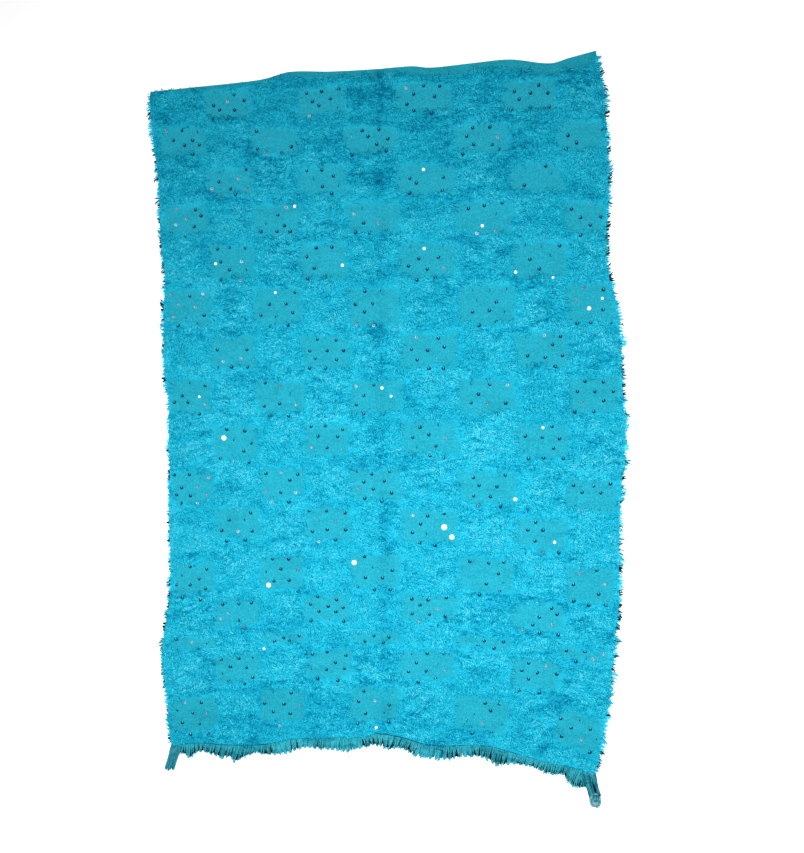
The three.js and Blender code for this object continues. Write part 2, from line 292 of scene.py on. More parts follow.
def reading(keys: np.ndarray, values: np.ndarray, at: np.ndarray) -> np.ndarray:
    """Smooth values of a table's column, by cubic pieces through its rows.

    Args:
        keys: Where each row lies, rising.
        values: The column's value in each row.
        at: Where the column is read.

    Returns:
        The column's value at each place.
    """
    last = len(keys) - 1
    i = np.clip(np.searchsorted(keys[1:-1], at), 0, last - 1)
    span = keys[i + 1] - keys[i]
    t = np.clip((at - keys[i]) / span, 0.0, 1.0)
    low, high = np.maximum(i - 1, 0), np.minimum(i + 2, last)
    before = (values[i + 1] - values[low]) / (keys[i + 1] - keys[low]) * span
    after = (values[high] - values[i]) / (keys[high] - keys[i]) * span
    rise = values[i + 1] - values[i]
    bend = 3 * rise - 2 * before - after + t * (before + after - 2 * rise)
    return values[i] + t * (before + t * bend)


def bow(first: float, middle: float, last: float, share: np.ndarray) -> np.ndarray:
    """Curve through three values.

    Args:
        first: The value at share 0.
        middle: The value half way.
        last: The value at share 1.
        share: Where the curve is read.

    Returns:
        The curve's value at each share.
    """
    near = first * (1 - share) * (1 - 2 * share)
    far = last * share * (2 * share - 1)
    return near + middle * 4 * share * (1 - share) + far


def smooth(low: float, high: float, at: np.ndarray) -> np.ndarray:
    """Soft step from 0 at low to 1 at high."""
    t = np.clip((at - low) / (high - low), 0.0, 1.0)
    return t * t * (3 - 2 * t)


@dataclass(frozen=True)
class SoftNoise:
    """Smooth uneven values over the plan, the same on every run."""

    seed: int
    cells: int = 96
    start_x: float = 500.3
    start_y: float = 700.7

    def at(self, x: np.ndarray, y: np.ndarray, size: float) -> np.ndarray:
        """Values from about -1 to 1.

        Args:
            x: Places across, in millimetres.
            y: Places up the length, in millimetres.
            size: How far apart the lumps are, in millimetres.

        Returns:
            One value for each place.
        """
        lattice = np.random.default_rng(self.seed).uniform(-1, 1, (self.cells, self.cells))
        u = np.asarray(x, float) / size + self.start_x
        v = np.asarray(y, float) / size + self.start_y
        i, j = np.floor(u).astype(int), np.floor(v).astype(int)
        s, t = smooth(0, 1, u - i), smooth(0, 1, v - j)
        n = self.cells
        corner = [[lattice[(i + a) % n, (j + b) % n] for b in (0, 1)] for a in (0, 1)]
        low = corner[0][0] * (1 - s) + corner[1][0] * s
        high = corner[0][1] * (1 - s) + corner[1][1] * s
        return low * (1 - t) + high * t

    def one(self, x: float, y: float, size: float) -> float:
        """The value at one place."""
        return float(self.at(x, y, size))


class Lumps(NamedTuple):
    """One grade of unevenness: how strong it is, how far apart its lumps are, and its seed."""

    strength: float
    size: float
    seed: int

    def at(self, x: np.ndarray, y: np.ndarray) -> np.ndarray:
        """The unevenness at some places."""
        return self.strength * SoftNoise(self.seed).at(x, y, self.size)


# The two ends of a range: of chance, of a tone, or of what a value rises over from 0 to 1
Span = tuple[float, float]


@dataclass(frozen=True)
class BlanketPlan:
    """Where the edges, the flat cells, the header and the middle fold lie."""

    cell_width: float = 130.0
    side_clearance: float = 8.0
    column_top_y: float = 950.0
    column_foot_y: float = -900.0
    header_left: float = 5.0
    header_right: float = 36.0
    fold_top_x: float = -66.0
    fold_foot_x: float = -46.0
    wander: float = 2.4
    border_lumps: tuple[Lumps, ...] = (Lumps(5.0, 38, 5), Lumps(3.6, 17, 5), Lumps(2.2, 8, 5))
    header_lumps: Lumps = Lumps(2.5, 14, 9)
    fold_lumps: Lumps = Lumps(3.0, 60, 3)
    # Painted shade near the hem, strongest at its left end
    painted_hem_shade_span: Span = (200.0, 40.0)
    painted_hem_shade_side_span: Span = (150.0, -450.0)
    painted_hem_shade_least: float = 0.12
    painted_hem_shade_more: float = 0.24

    def left(self, y: np.ndarray) -> np.ndarray:
        """X of the left edge at some heights."""
        return reading(column(SIDES, "y")[::-1], column(SIDES, "left")[::-1], y)

    def right(self, y: np.ndarray) -> np.ndarray:
        """X of the right edge at some heights."""
        return reading(column(SIDES, "y")[::-1], column(SIDES, "right")[::-1], y)

    def top(self, x: np.ndarray) -> np.ndarray:
        """Y of the top edge at some places across."""
        return reading(column(TOP_EDGE, "x"), column(TOP_EDGE, "y"), x)

    def hem(self, x: np.ndarray) -> np.ndarray:
        """Y of the hem at some places across."""
        return reading(column(HEM, "x"), column(HEM, "y"), x)

    def across(self, x: np.ndarray, y: np.ndarray) -> np.ndarray:
        """Share of the way from the left to the right edge."""
        left = self.left(y)
        return (x - left) / (self.right(y) - left)

    def down(self, y: np.ndarray) -> np.ndarray:
        """Share of the way from the top to the foot of the columns."""
        return np.clip((self.column_top_y - y) / (self.column_top_y - self.column_foot_y), 0, 1)

    def column_middle(self, index: int, y: np.ndarray) -> np.ndarray:
        """X of the middle of one column of cells."""
        return bow(*COLUMNS[index], self.down(y))

    def boundary(self, index: int, y: np.ndarray) -> np.ndarray:
        """X of the boundary before a column, or of the one after the last.

        Args:
            index: The column's number, or one past the last.
            y: Heights at which the boundary is read.

        Returns:
            The boundary's x at each height.
        """
        half = self.cell_width / 2
        if index == 0:
            return np.maximum(self.column_middle(0, y) - half, self.left(y) + self.side_clearance)
        if index == len(COLUMNS):
            edge = self.right(y) - self.side_clearance
            return np.minimum(self.column_middle(index - 1, y) + half, edge)
        return (self.column_middle(index - 1, y) + self.column_middle(index, y)) / 2

    def row_middle(self, row: int, x: np.ndarray, y: np.ndarray) -> np.ndarray:
        """Y of the middle of one row of cells, near the places given."""
        cells = ROWS[row]
        return bow(cells.left, cells.middle, cells.right, self.across(x, y))

    def header_depth(self, x: np.ndarray, y: np.ndarray) -> np.ndarray:
        """How deep the plain header is at some places."""
        return self.header_left + (self.header_right - self.header_left) * self.across(x, y)

    def cell_share(self, x: np.ndarray, y: np.ndarray, soft: float, inset: float = 0.0) -> np.ndarray:
        """How far each place lies in a flat cell.

        Args:
            x: Places across.
            y: Places up the length.
            soft: The run over which the value rises from 0 to 1.
            inset: How far inside the cell's border the rise is centred.

        Returns:
            1 in a flat cell, 0 outside.
        """
        wx = x - self.wander * np.sin(y / 17 + x / 29)
        wy = y - self.wander * np.sin(x / 19 - y / 37)
        for lumps in self.border_lumps:
            wx = wx + lumps.at(x, y)
            wy = wy + lumps.at(x + 400, y - 300)
        bounds = [self.boundary(i, wy) for i in range(len(COLUMNS) + 1)]
        half = soft / 2
        ups = [
            smooth(-half, half, np.minimum(wx - bounds[i], bounds[i + 1] - wx) - inset)
            for i in range(len(COLUMNS))
        ]
        share = np.zeros_like(wx)
        for row, cells in enumerate(ROWS):
            away = cells.tall / 2 - np.abs(wy - self.row_middle(row, wx, wy))
            inside = smooth(-half, half, away - inset)
            for index in range((row + 1) % 2, len(COLUMNS), 2):
                share = np.maximum(share, inside * ups[index])
        return share

    def header_share(self, x: np.ndarray, y: np.ndarray, soft: float) -> np.ndarray:
        """How far each place lies in the plain header.

        Args:
            x: Places across.
            y: Places up the length.
            soft: The run over which the value rises.

        Returns:
            1 in the header, 0 below it.
        """
        below = self.top(x) - y - self.header_depth(x, y) + self.header_lumps.at(x, y)
        return 1 - smooth(-soft / 2, soft / 2, below)

    def fold(self, x: np.ndarray, y: np.ndarray, width: float) -> np.ndarray:
        """1 along the fold down the middle, falling to 0 beside it."""
        line = self.fold_top_x + (self.fold_foot_x - self.fold_top_x) * self.down(y)
        return np.exp(-(((x - line + self.fold_lumps.at(0 * y, y)) / width) ** 2))

    def painted_hem_shade(self, x: np.ndarray, y: np.ndarray) -> np.ndarray:
        """Painted shade: how much darker the wool is painted near the hem, most at its left end."""
        dark = self.painted_hem_shade_least + self.painted_hem_shade_more * smooth(*self.painted_hem_shade_side_span, x)
        return smooth(*self.painted_hem_shade_span, y - self.hem(x)) * dark

    def box(self) -> tuple[Vector, Vector]:
        """Measures the cloth's outline.

        Returns:
            Its lowest and its highest corner in the plan.
        """
        y = np.linspace(HEM[-1].y, TOP_EDGE[-1].y, 1500)
        x = np.linspace(TOP_EDGE[0].x, TOP_EDGE[-1].x, 1500)
        low = Vector((self.left(y).min(), self.hem(x).min(), 0))
        high = Vector((self.right(y).max(), self.top(x).max(), 0))
        return low, high


@dataclass(frozen=True)
class Placement:
    """Turns plan millimetres into metres in the frame."""

    shift_x: float
    shift_y: float

    @classmethod
    def from_frame(cls, plan: BlanketPlan) -> Placement:
        """Lays the plan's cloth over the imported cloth.

        Args:
            plan: The blanket's plan.

        Returns:
            The placement.
        """
        low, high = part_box("blanket_cloth")
        plan_low, plan_high = plan.box()
        shift = (low + high) / 2 - (plan_low + plan_high) / 2 * MM
        return cls(shift.x, shift.y)

    def points(self, x: np.ndarray, y: np.ndarray, z: np.ndarray) -> np.ndarray:
        """Points in metres, one row each."""
        return np.stack([x * MM + self.shift_x, y * MM + self.shift_y, z * MM], -1)


# Wiring of shader and geometry nodes


def pick(sockets: bpy.types.bpy_prop_collection, name: str | int) -> bpy.types.NodeSocket:
    """Finds a socket.

    Args:
        sockets: A node's inputs or outputs.
        name: The socket's name, or its place in the list.

    Returns:
        The first socket in use with the name, or the one at the place.
    """
    if isinstance(name, int):
        return sockets[name]
    return next(s for s in sockets if s.enabled and s.name == name)


@dataclass
class Wiring:
    """Adds nodes to a tree and joins their sockets by name."""

    tree: bpy.types.NodeTree

    def node(self, kind: str, wires: dict | None = None, **settings: object) -> bpy.types.Node:
        """Adds a node.

        Args:
            kind: Blender's name for the node type.
            wires: A value or another node's socket for each named input.
            settings: The node's own settings.

        Returns:
            The new node.
        """
        made = self.tree.nodes.new(kind)
        for name, value in settings.items():
            setattr(made, name, value)
        for name, value in (wires or {}).items():
            self.feed(pick(made.inputs, name), value)
        return made

    def feed(self, socket: bpy.types.NodeSocket, value: object) -> None:
        """Links another socket to an input, or sets the input's own value.

        Args:
            socket: The input.
            value: The other socket, or the value.
        """
        if isinstance(value, bpy.types.NodeSocket):
            self.tree.links.new(value, socket)
        else:
            socket.default_value = value

    def sums(self, operation: str, *values: object) -> bpy.types.NodeSocket:
        """One step of arithmetic on values or sockets."""
        return self.node("ShaderNodeMath", dict(enumerate(values)), operation=operation).outputs[0]

    def noise(self, place: object, scale: float, **more: float) -> bpy.types.NodeSocket:
        """Soft noise over a place, with a detail of 2 unless another is given."""
        wires = {"Vector": place, "Scale": scale, **more}
        return self.node("ShaderNodeTexNoise", wires).outputs[0]

    def stored(self, name: str) -> bpy.types.NodeSocket:
        """The number that a mesh stores under a name."""
        return self.node("ShaderNodeAttribute", attribute_name=name).outputs["Fac"]

    def blend(self, share: object, low: object, high: object) -> bpy.types.NodeSocket:
        """A colour between two colours."""
        made = self.node("ShaderNodeMix", {"Factor": share, "A": low, "B": high}, data_type="RGBA")
        return pick(made.outputs, "Result")

    def ranged(
        self, value: object, low: float, high: float, to: tuple[float, float] = (0, 1)
    ) -> bpy.types.NodeSocket:
        """A value stretched from one range to another, and held inside it."""
        wires = {"Value": value, "From Min": low, "From Max": high, "To Min": to[0], "To Max": to[1]}
        return self.node("ShaderNodeMapRange", wires).outputs[0]


Colour = tuple[float, float, float, float]


def linear(part: int) -> float:
    """One part of a screen colour, from 0 to 255, as linear light."""
    share = part / 255
    return share / 12.92 if share <= 0.04045 else ((share + 0.055) / 1.055) ** 2.4


def paint(red: int, green: int, blue: int) -> Colour:
    """A colour as it shows on a screen, as the shader's linear colour."""
    return linear(red), linear(green), linear(blue), 1.0


@dataclass(frozen=True)
class WoolTones:
    """The shared effect that colours dyed wool unevenly, as a shader node group.

    Patches, mottle and single strands add up to a level. Painted shade lowers it at a strand's
    root, raises it at its tip and moves it by the Shade input. The body colour shows at 0, the deep
    or the light one from the reach on, and a near-black painted shadow where no light gets in.
    """

    patch_scale: float = 17.0
    mottle_scale: float = 78.0
    calm_scale: float = 5.0
    stretch: tuple[float, float, float] = (0.55, 1.2, 1.0)
    patch_weight: float = 0.4
    mottle_weight: float = 0.62
    strand_weight: float = 0.44
    # Painted shade along each strand: darker at the root, lighter at the tip
    painted_root_shade: float = 0.15
    shade_weight: float = -0.45
    patch_span: Span = (0.3, 0.58)
    patch_level: Span = (-0.7, 0.3)
    mottle_span: Span = (0.26, 0.6)
    mottle_level: Span = (-0.76, 0.3)
    calm_span: Span = (0.35, 0.65)
    calm_share: Span = (0.6, 1.25)
    reach: float = 0.6
    roughness: Span = (0.95, 0.78)
    # The near-black painted shadow, and the levels over which it takes over
    painted_shadow_span: Span = (-1.2, -0.7)
    painted_shadow: Colour = (0.002, 0.008, 0.014, 1.0)

    def build(self) -> bpy.types.ShaderNodeTree:
        """Makes the group.

        Returns:
            A group that takes a place, the strand's own shade and three colours, and gives a
            colour and a roughness.
        """
        group = bpy.data.node_groups.new("wool tones", "ShaderNodeTree")
        ports = group.interface
        ports.new_socket("Place", in_out="INPUT", socket_type="NodeSocketVector")
        for name in ("Along", "Strand", "Shade"):
            ports.new_socket(name, in_out="INPUT", socket_type="NodeSocketFloat")
        for name in ("Deep", "Body", "Light"):
            ports.new_socket(name, in_out="INPUT", socket_type="NodeSocketColor")
        ports.new_socket("Contrast", in_out="INPUT", socket_type="NodeSocketFloat")
        ports.new_socket("Colour", in_out="OUTPUT", socket_type="NodeSocketColor")
        ports.new_socket("Roughness", in_out="OUTPUT", socket_type="NodeSocketFloat")
        wire = Wiring(group)
        given = wire.node("NodeGroupInput").outputs
        wires = {0: given["Place"], 1: self.stretch}
        drawn = wire.node("ShaderNodeVectorMath", wires, operation="MULTIPLY").outputs[0]
        patch = wire.noise(drawn, self.patch_scale, Detail=2.0, Distortion=1.0)
        patch = wire.ranged(patch, *self.patch_span, self.patch_level)
        mottle = wire.noise(drawn, self.mottle_scale, Detail=3.0, Distortion=1.2)
        mottle = wire.ranged(mottle, *self.mottle_span, self.mottle_level)
        strand = wire.sums("SUBTRACT", given["Strand"], 0.5)
        level = wire.sums("MULTIPLY", patch, self.patch_weight)
        level = wire.sums("MULTIPLY_ADD", mottle, self.mottle_weight, level)
        level = wire.sums("MULTIPLY_ADD", strand, self.strand_weight, level)
        calm = wire.noise(given["Place"], self.calm_scale)
        level = wire.sums("MULTIPLY", level, wire.ranged(calm, *self.calm_span, self.calm_share))
        level = wire.sums("MULTIPLY", level, given["Contrast"])
        # Painted shade: each strand is darker at its root and lighter at its tip
        rise = wire.sums("SUBTRACT", given["Along"], 0.5)
        level = wire.sums("MULTIPLY_ADD", rise, self.painted_root_shade, level)
        # The Shade input darkens by painted shade, or lightens by painted light below 0; on the cloth it
        # also holds the header's duller colour
        level = wire.sums("MULTIPLY_ADD", given["Shade"], self.shade_weight, level)
        deep = wire.ranged(level, -self.reach, 0.0)
        light = wire.ranged(level, 0.0, self.reach)
        colour = wire.blend(deep, given["Deep"], given["Body"])
        colour = wire.blend(light, colour, given["Light"])
        # Painted shadow: near black where the level falls lowest
        colour = wire.blend(wire.ranged(level, *self.painted_shadow_span), self.painted_shadow, colour)
        rough = wire.ranged(level, -self.reach, self.reach, self.roughness)
        wire.node("NodeGroupOutput", {"Colour": colour, "Roughness": rough})
        return group


@dataclass(frozen=True)
class WeaveRelief:
    """The shared effect that gives plain weave its fine ribs, as a shader node group."""

    weft_pitch: float = 2.4
    warp_pitch: float = 3.4
    wobble: float = 4.0
    wobble_scale: float = 60.0

    def build(self) -> bpy.types.ShaderNodeTree:
        """Makes the group.

        Returns:
            A group that takes a place and gives the height of the yarns, from 0 to 1.
        """
        group = bpy.data.node_groups.new("weave relief", "ShaderNodeTree")
        group.interface.new_socket("Place", in_out="INPUT", socket_type="NodeSocketVector")
        group.interface.new_socket("Height", in_out="OUTPUT", socket_type="NodeSocketFloat")
        wire = Wiring(group)
        given = wire.node("NodeGroupInput").outputs
        parts = wire.node("ShaderNodeSeparateXYZ", {"Vector": given["Place"]}).outputs
        bend = wire.sums("MULTIPLY", wire.noise(given["Place"], self.wobble_scale), self.wobble * MM)
        ribs = self.wave(wire, wire.sums("ADD", parts[1], bend), self.weft_pitch)
        ends = self.wave(wire, wire.sums("ADD", parts[0], bend), self.warp_pitch)
        height = wire.sums("MULTIPLY_ADD", wire.sums("MULTIPLY", ribs, ends), 0.25, 0.5)
        height = wire.sums("MULTIPLY_ADD", ribs, 0.25, height)
        wire.node("NodeGroupOutput", {"Height": height})
        return group

    def wave(self, wire: Wiring, place: bpy.types.NodeSocket, pitch: float) -> bpy.types.NodeSocket:
        """A wave from -1 to 1 that comes back at every pitch, in millimetres."""
        return wire.sums("SINE", wire.sums("MULTIPLY", place, 2 * math.pi / (pitch * MM)))


@dataclass(frozen=True)
class WoolFinish:
    """Dyed wool: three shades of its colour and how its fibres take the light."""

    name: str
    deep: Colour
    body: Colour
    light: Colour
    contrast: float = 1.0
    sheen: float = 0.01
    sheen_roughness: float = 0.5
    specular: float = 0.005
    fibre_scale: float = 900.0
    fibre_relief: float = 0.35
    fibre_depth: float = 0.6

    def material(self, tones: bpy.types.ShaderNodeTree) -> bpy.types.Material:
        """Makes the material.

        Args:
            tones: The shared group that colours wool unevenly.

        Returns:
            The material of strands and yarn.
        """
        material, wire, shader = new_material(self.name)
        place = wire.node("ShaderNodeTexCoord").outputs["Object"]
        # The shade attribute, where a mesh has it, is painted shade
        wires = {
            "Place": place, "Along": wire.stored("along"), "Strand": wire.stored("tone"),
            "Shade": wire.stored("shade"), "Deep": self.deep, "Body": self.body,
            "Light": self.light, "Contrast": self.contrast,
        }
        wool = wire.node("ShaderNodeGroup", wires, node_tree=tones)
        wire.feed(shader.inputs["Base Color"], wool.outputs["Colour"])
        wire.feed(shader.inputs["Roughness"], wool.outputs["Roughness"])
        wires = {
            "Strength": self.fibre_relief, "Distance": self.fibre_depth * MM,
            "Height": wire.noise(place, self.fibre_scale),
        }
        wire.feed(shader.inputs["Normal"], wire.node("ShaderNodeBump", wires).outputs[0])
        shader.inputs["Sheen Weight"].default_value = self.sheen
        shader.inputs["Sheen Roughness"].default_value = self.sheen_roughness
        shader.inputs["Sheen Tint"].default_value = self.light
        shader.inputs["Specular IOR Level"].default_value = self.specular
        return material


def new_material(name: str) -> tuple[bpy.types.Material, Wiring, bpy.types.Node]:
    """An empty node material with one shader.

    Args:
        name: The material's name.

    Returns:
        The material, the wiring of its nodes and its shader.
    """
    material = bpy.data.materials.new(name)
    material.use_nodes = True
    material.node_tree.nodes.clear()
    wire = Wiring(material.node_tree)
    shader = wire.node("ShaderNodeBsdfPrincipled")
    wire.node("ShaderNodeOutputMaterial", {"Surface": shader.outputs[0]})
    return material, wire, shader


class Shades(NamedTuple):
    """The deep, middle and light shade of a part of the cloth, and how strongly they vary."""

    deep: Colour
    body: Colour
    light: Colour
    contrast: float


@dataclass(frozen=True)
class ClothFinish:
    """The woven ground: plain weave in the flat cells and the header, matted shag elsewhere."""

    name: str = "woven wool"
    cell: Shades = Shades(paint(16, 127, 150), paint(29, 156, 178), paint(36, 174, 203), 0.45)
    mat: Shades = Shades(paint(0, 116, 148), paint(16, 158, 185), paint(38, 180, 206), 0.9)
    cell_fleck: float = 0.3
    cell_fleck_scale: float = 260.0
    cell_fleck_span: Span = (0.38, 0.87)
    rib_share: float = 0.25
    mat_fleck: float = 0.4
    mat_fleck_scale: float = 210.0
    mat_fleck_span: Span = (0.36, 0.64)
    nap_scale: float = 420.0
    relief: float = 0.9
    depth: float = 1.2
    roughness: float = 0.88
    sheen: float = 0.08
    specular: float = 0.1

    def material(
        self, tones: bpy.types.ShaderNodeTree, weave: bpy.types.ShaderNodeTree
    ) -> bpy.types.Material:
        """Makes the material.

        Args:
            tones: The shared group that colours wool unevenly.
            weave: The shared group that gives plain weave its ribs.

        Returns:
            The material of the woven ground.
        """
        material, wire, shader = new_material(self.name)
        place = wire.node("ShaderNodeTexCoord").outputs["Object"]
        # shade is painted shade and painted light, with the header's duller colour
        shag, shade = wire.stored("shag"), wire.stored("shade")
        colours = []
        for shades in (self.cell, self.mat):
            wires = {
                "Place": place, "Along": 0.5, "Strand": 0.5, "Shade": shade, "Deep": shades.deep,
                "Body": shades.body, "Light": shades.light, "Contrast": shades.contrast,
            }
            wool = wire.node("ShaderNodeGroup", wires, node_tree=tones)
            colours.append(wool.outputs["Colour"])
        cell, mat = colours
        ribs = wire.node("ShaderNodeGroup", {"Place": place}, node_tree=weave).outputs["Height"]
        fleck = wire.noise(place, self.cell_fleck_scale, Detail=3.0)
        fleck = wire.sums("MULTIPLY_ADD", ribs, self.rib_share, fleck)
        share = wire.ranged(fleck, *self.cell_fleck_span)
        cell = wire.blend(share, *self.flecks(wire, cell, self.cell_fleck))
        fibres = wire.noise(place, self.mat_fleck_scale, Detail=4.0, Distortion=2.5)
        share = wire.ranged(fibres, *self.mat_fleck_span)
        mat = wire.blend(share, *self.flecks(wire, mat, self.mat_fleck))
        wire.feed(shader.inputs["Base Color"], wire.blend(shag, cell, mat))
        nap = wire.noise(place, self.nap_scale, Detail=3.0)
        height = wire.node("ShaderNodeMix", {"Factor": shag, "A": ribs, "B": nap})
        wires = {
            "Strength": self.relief, "Distance": self.depth * MM,
            "Height": pick(height.outputs, "Result"),
        }
        wire.feed(shader.inputs["Normal"], wire.node("ShaderNodeBump", wires).outputs[0])
        shader.inputs["Roughness"].default_value = self.roughness
        shader.inputs["Sheen Weight"].default_value = self.sheen
        shader.inputs["Sheen Tint"].default_value = self.cell.light
        shader.inputs["Specular IOR Level"].default_value = self.specular
        return material

    def flecks(
        self, wire: Wiring, colour: bpy.types.NodeSocket, reach: float
    ) -> list[bpy.types.NodeSocket]:
        """A darker and a lighter shade of a colour.

        Args:
            wire: The wiring of the material's nodes.
            colour: The colour.
            reach: How far both shades are from it, as a share of it.

        Returns:
            The darker and the lighter shade.
        """
        shades = []
        for value in (1 - reach, 1 + reach):
            made = wire.node("ShaderNodeHueSaturation", {"Value": value, "Color": colour})
            shades.append(made.outputs[0])
        return shades


@dataclass(frozen=True)
class DiscFinish:
    """Worn cupped metal, dark where it is dull, with a painted glint where it catches the light:
    pale or near white, and emitting light.
    """

    name: str = "worn disc metal"
    # The dull colour is the metal's own; the pale and bright colours are painted glints
    dull: Colour = (0.004, 0.012, 0.075, 1.0)
    pale: Colour = (0.24, 0.34, 0.42, 1.0)
    bright: Colour = (0.92, 0.93, 0.95, 1.0)
    dull_roughness: float = 0.3
    bright_roughness: float = 0.5
    tarnish_scale: float = 400.0
    tarnish_span: Span = (0.4, 0.7)
    tarnish: float = 0.06
    pale_share: float = 0.4
    # Painted glint: how strongly the glinting discs emit light
    painted_glint_emission: float = 0.5

    def material(self) -> bpy.types.Material:
        """Makes the material.

        Returns:
            The material, which reads each disc's own painted glint.
        """
        material, wire, shader = new_material(self.name)
        place = wire.node("ShaderNodeTexCoord").outputs["Object"]
        gleam = wire.stored("gleam")
        tarnish = wire.noise(place, self.tarnish_scale)
        spread = wire.ranged(tarnish, *self.tarnish_span, (0.0, self.tarnish))
        share = wire.sums("ADD", gleam, spread)
        colour = wire.blend(wire.ranged(share, 0.0, self.pale_share), self.dull, self.pale)
        colour = wire.blend(wire.ranged(share, self.pale_share, 1.0), colour, self.bright)
        wire.feed(shader.inputs["Base Color"], colour)
        # Painted glint: a glinting disc is painted pale or near white instead of metal
        wire.feed(shader.inputs["Metallic"], wire.sums("SUBTRACT", 1.0, gleam))
        rough = wire.ranged(gleam, 0.0, 1.0, (self.dull_roughness, self.bright_roughness))
        wire.feed(shader.inputs["Roughness"], rough)
        # Painted glint: the glinting discs emit light, though they are no lamp
        lit = wire.blend(gleam, (0.0, 0.0, 0.0, 1.0), self.bright)
        wire.feed(shader.inputs["Emission Color"], lit)
        shader.inputs["Emission Strength"].default_value = self.painted_glint_emission
        return material


# Geometry node trees


@dataclass
class FormTree:
    """A geometry node tree with named inputs, run on a mesh to make one plain mesh."""

    name: str
    tree: bpy.types.GeometryNodeTree = field(init=False)
    wire: Wiring = field(init=False)

    def __post_init__(self) -> None:
        """Starts the tree with its geometry sockets."""
        self.tree = bpy.data.node_groups.new(self.name, "GeometryNodeTree")
        self.tree.interface.new_socket("Geometry", in_out="INPUT", socket_type="NodeSocketGeometry")
        self.tree.interface.new_socket("Geometry", in_out="OUTPUT", socket_type="NodeSocketGeometry")
        self.wire = Wiring(self.tree)

    def take(self, **kinds: str) -> dict[str, bpy.types.NodeSocket]:
        """Adds the tree's named inputs.

        Args:
            kinds: The socket type of each input, without its first word.

        Returns:
            The socket that gives each input inside the tree, and the geometry's.
        """
        for name, kind in kinds.items():
            self.tree.interface.new_socket(name, in_out="INPUT", socket_type=f"NodeSocket{kind}")
        given = self.wire.node("NodeGroupInput")
        return {name: given.outputs[name] for name in ("Geometry", *kinds)}

    def named(self, name: str, kind: str = "FLOAT") -> bpy.types.NodeSocket:
        """Reads a named attribute."""
        made = self.wire.node("GeometryNodeInputNamedAttribute", {"Name": name}, data_type=kind)
        return pick(made.outputs, "Attribute")

    def chance(self, low: object, high: object, seed: object) -> bpy.types.NodeSocket:
        """A random number for each point."""
        wires = {"Min": low, "Max": high, "Seed": seed}
        return pick(self.wire.node("FunctionNodeRandomValue", wires).outputs, "Value")

    def give(self, shape: bpy.types.NodeSocket, finish: bpy.types.NodeSocket) -> None:
        """Ends the tree: instances are made real and get their material.

        Args:
            shape: The tree's geometry.
            finish: The material.
        """
        real = self.wire.node("GeometryNodeRealizeInstances", {"Geometry": shape})
        wires = {"Geometry": real.outputs[0], "Material": finish}
        done = self.wire.node("GeometryNodeSetMaterial", wires)
        self.wire.node("NodeGroupOutput", {"Geometry": done.outputs[0]})

    def run(self, name: str, source: bpy.types.Mesh, **values: object) -> bpy.types.Object:
        """Runs the tree on a mesh.

        Args:
            name: The new piece's name.
            source: The mesh that the tree starts from, which is used up.
            values: A value for each named input.

        Returns:
            A piece with a plain mesh and no modifier.
        """
        carrier = bpy.data.objects.new(f"{name}_source", source)
        bpy.context.scene.collection.objects.link(carrier)
        modifier = carrier.modifiers.new("form", "NODES")
        modifier.node_group = self.tree
        for item in self.tree.interface.items_tree:
            if item.item_type == "SOCKET" and item.in_out == "INPUT" and item.name in values:
                modifier[item.identifier] = values[item.name]
        graph = bpy.context.evaluated_depsgraph_get()
        mesh = bpy.data.meshes.new_from_object(
            carrier.evaluated_get(graph), preserve_all_data_layers=True, depsgraph=graph
        )
        mesh.name = name
        bpy.data.objects.remove(carrier)
        bpy.data.meshes.remove(source)
        piece = bpy.data.objects.new(name, mesh)
        bpy.context.scene.collection.objects.link(piece)
        return piece


def mesh_from(name: str, points: Sequence, faces: Sequence, edges: Sequence = ()) -> bpy.types.Mesh:
    """Makes a mesh.

    Args:
        name: The mesh's name.
        points: Its points, in metres.
        faces: The corners of each face.
        edges: The ends of each loose edge.

    Returns:
        The mesh.
    """
    mesh = bpy.data.meshes.new(name)
    mesh.from_pydata(points, edges, faces)
    mesh.update()
    return mesh


def store(mesh: bpy.types.Mesh, name: str, values: np.ndarray) -> None:
    """Stores an attribute on the points of a mesh.

    Args:
        mesh: The mesh.
        name: The attribute's name.
        values: One number, or one row of three, for each point.
    """
    values = np.asarray(values, np.float32)
    kind, key = ("FLOAT", "value") if values.ndim == 1 else ("FLOAT_VECTOR", "vector")
    mesh.attributes.new(name, kind, "POINT").data.foreach_set(key, values.ravel())


def triangles(piece: bpy.types.Object) -> int:
    """How many triangles a piece's mesh has."""
    return sum(len(face.vertices) - 2 for face in piece.data.polygons)


def settle(piece: bpy.types.Object, slot: str, *nodes: str) -> bpy.types.Object:
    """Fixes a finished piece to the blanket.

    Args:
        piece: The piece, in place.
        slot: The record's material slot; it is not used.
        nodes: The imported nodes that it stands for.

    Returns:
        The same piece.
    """
    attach(piece, BODY)
    if nodes:
        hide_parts(*nodes)
    LOG.info("%s: %d triangles", piece.name, triangles(piece))
    return piece


def grid_faces(rows: int, columns: int) -> np.ndarray:
    """The four corners of each face of a grid whose rows run downwards."""
    spots = np.arange(rows * columns).reshape(rows, columns)
    return np.stack([spots[:-1, :-1], spots[1:, :-1], spots[1:, 1:], spots[:-1, 1:]], -1).reshape(-1, 4)


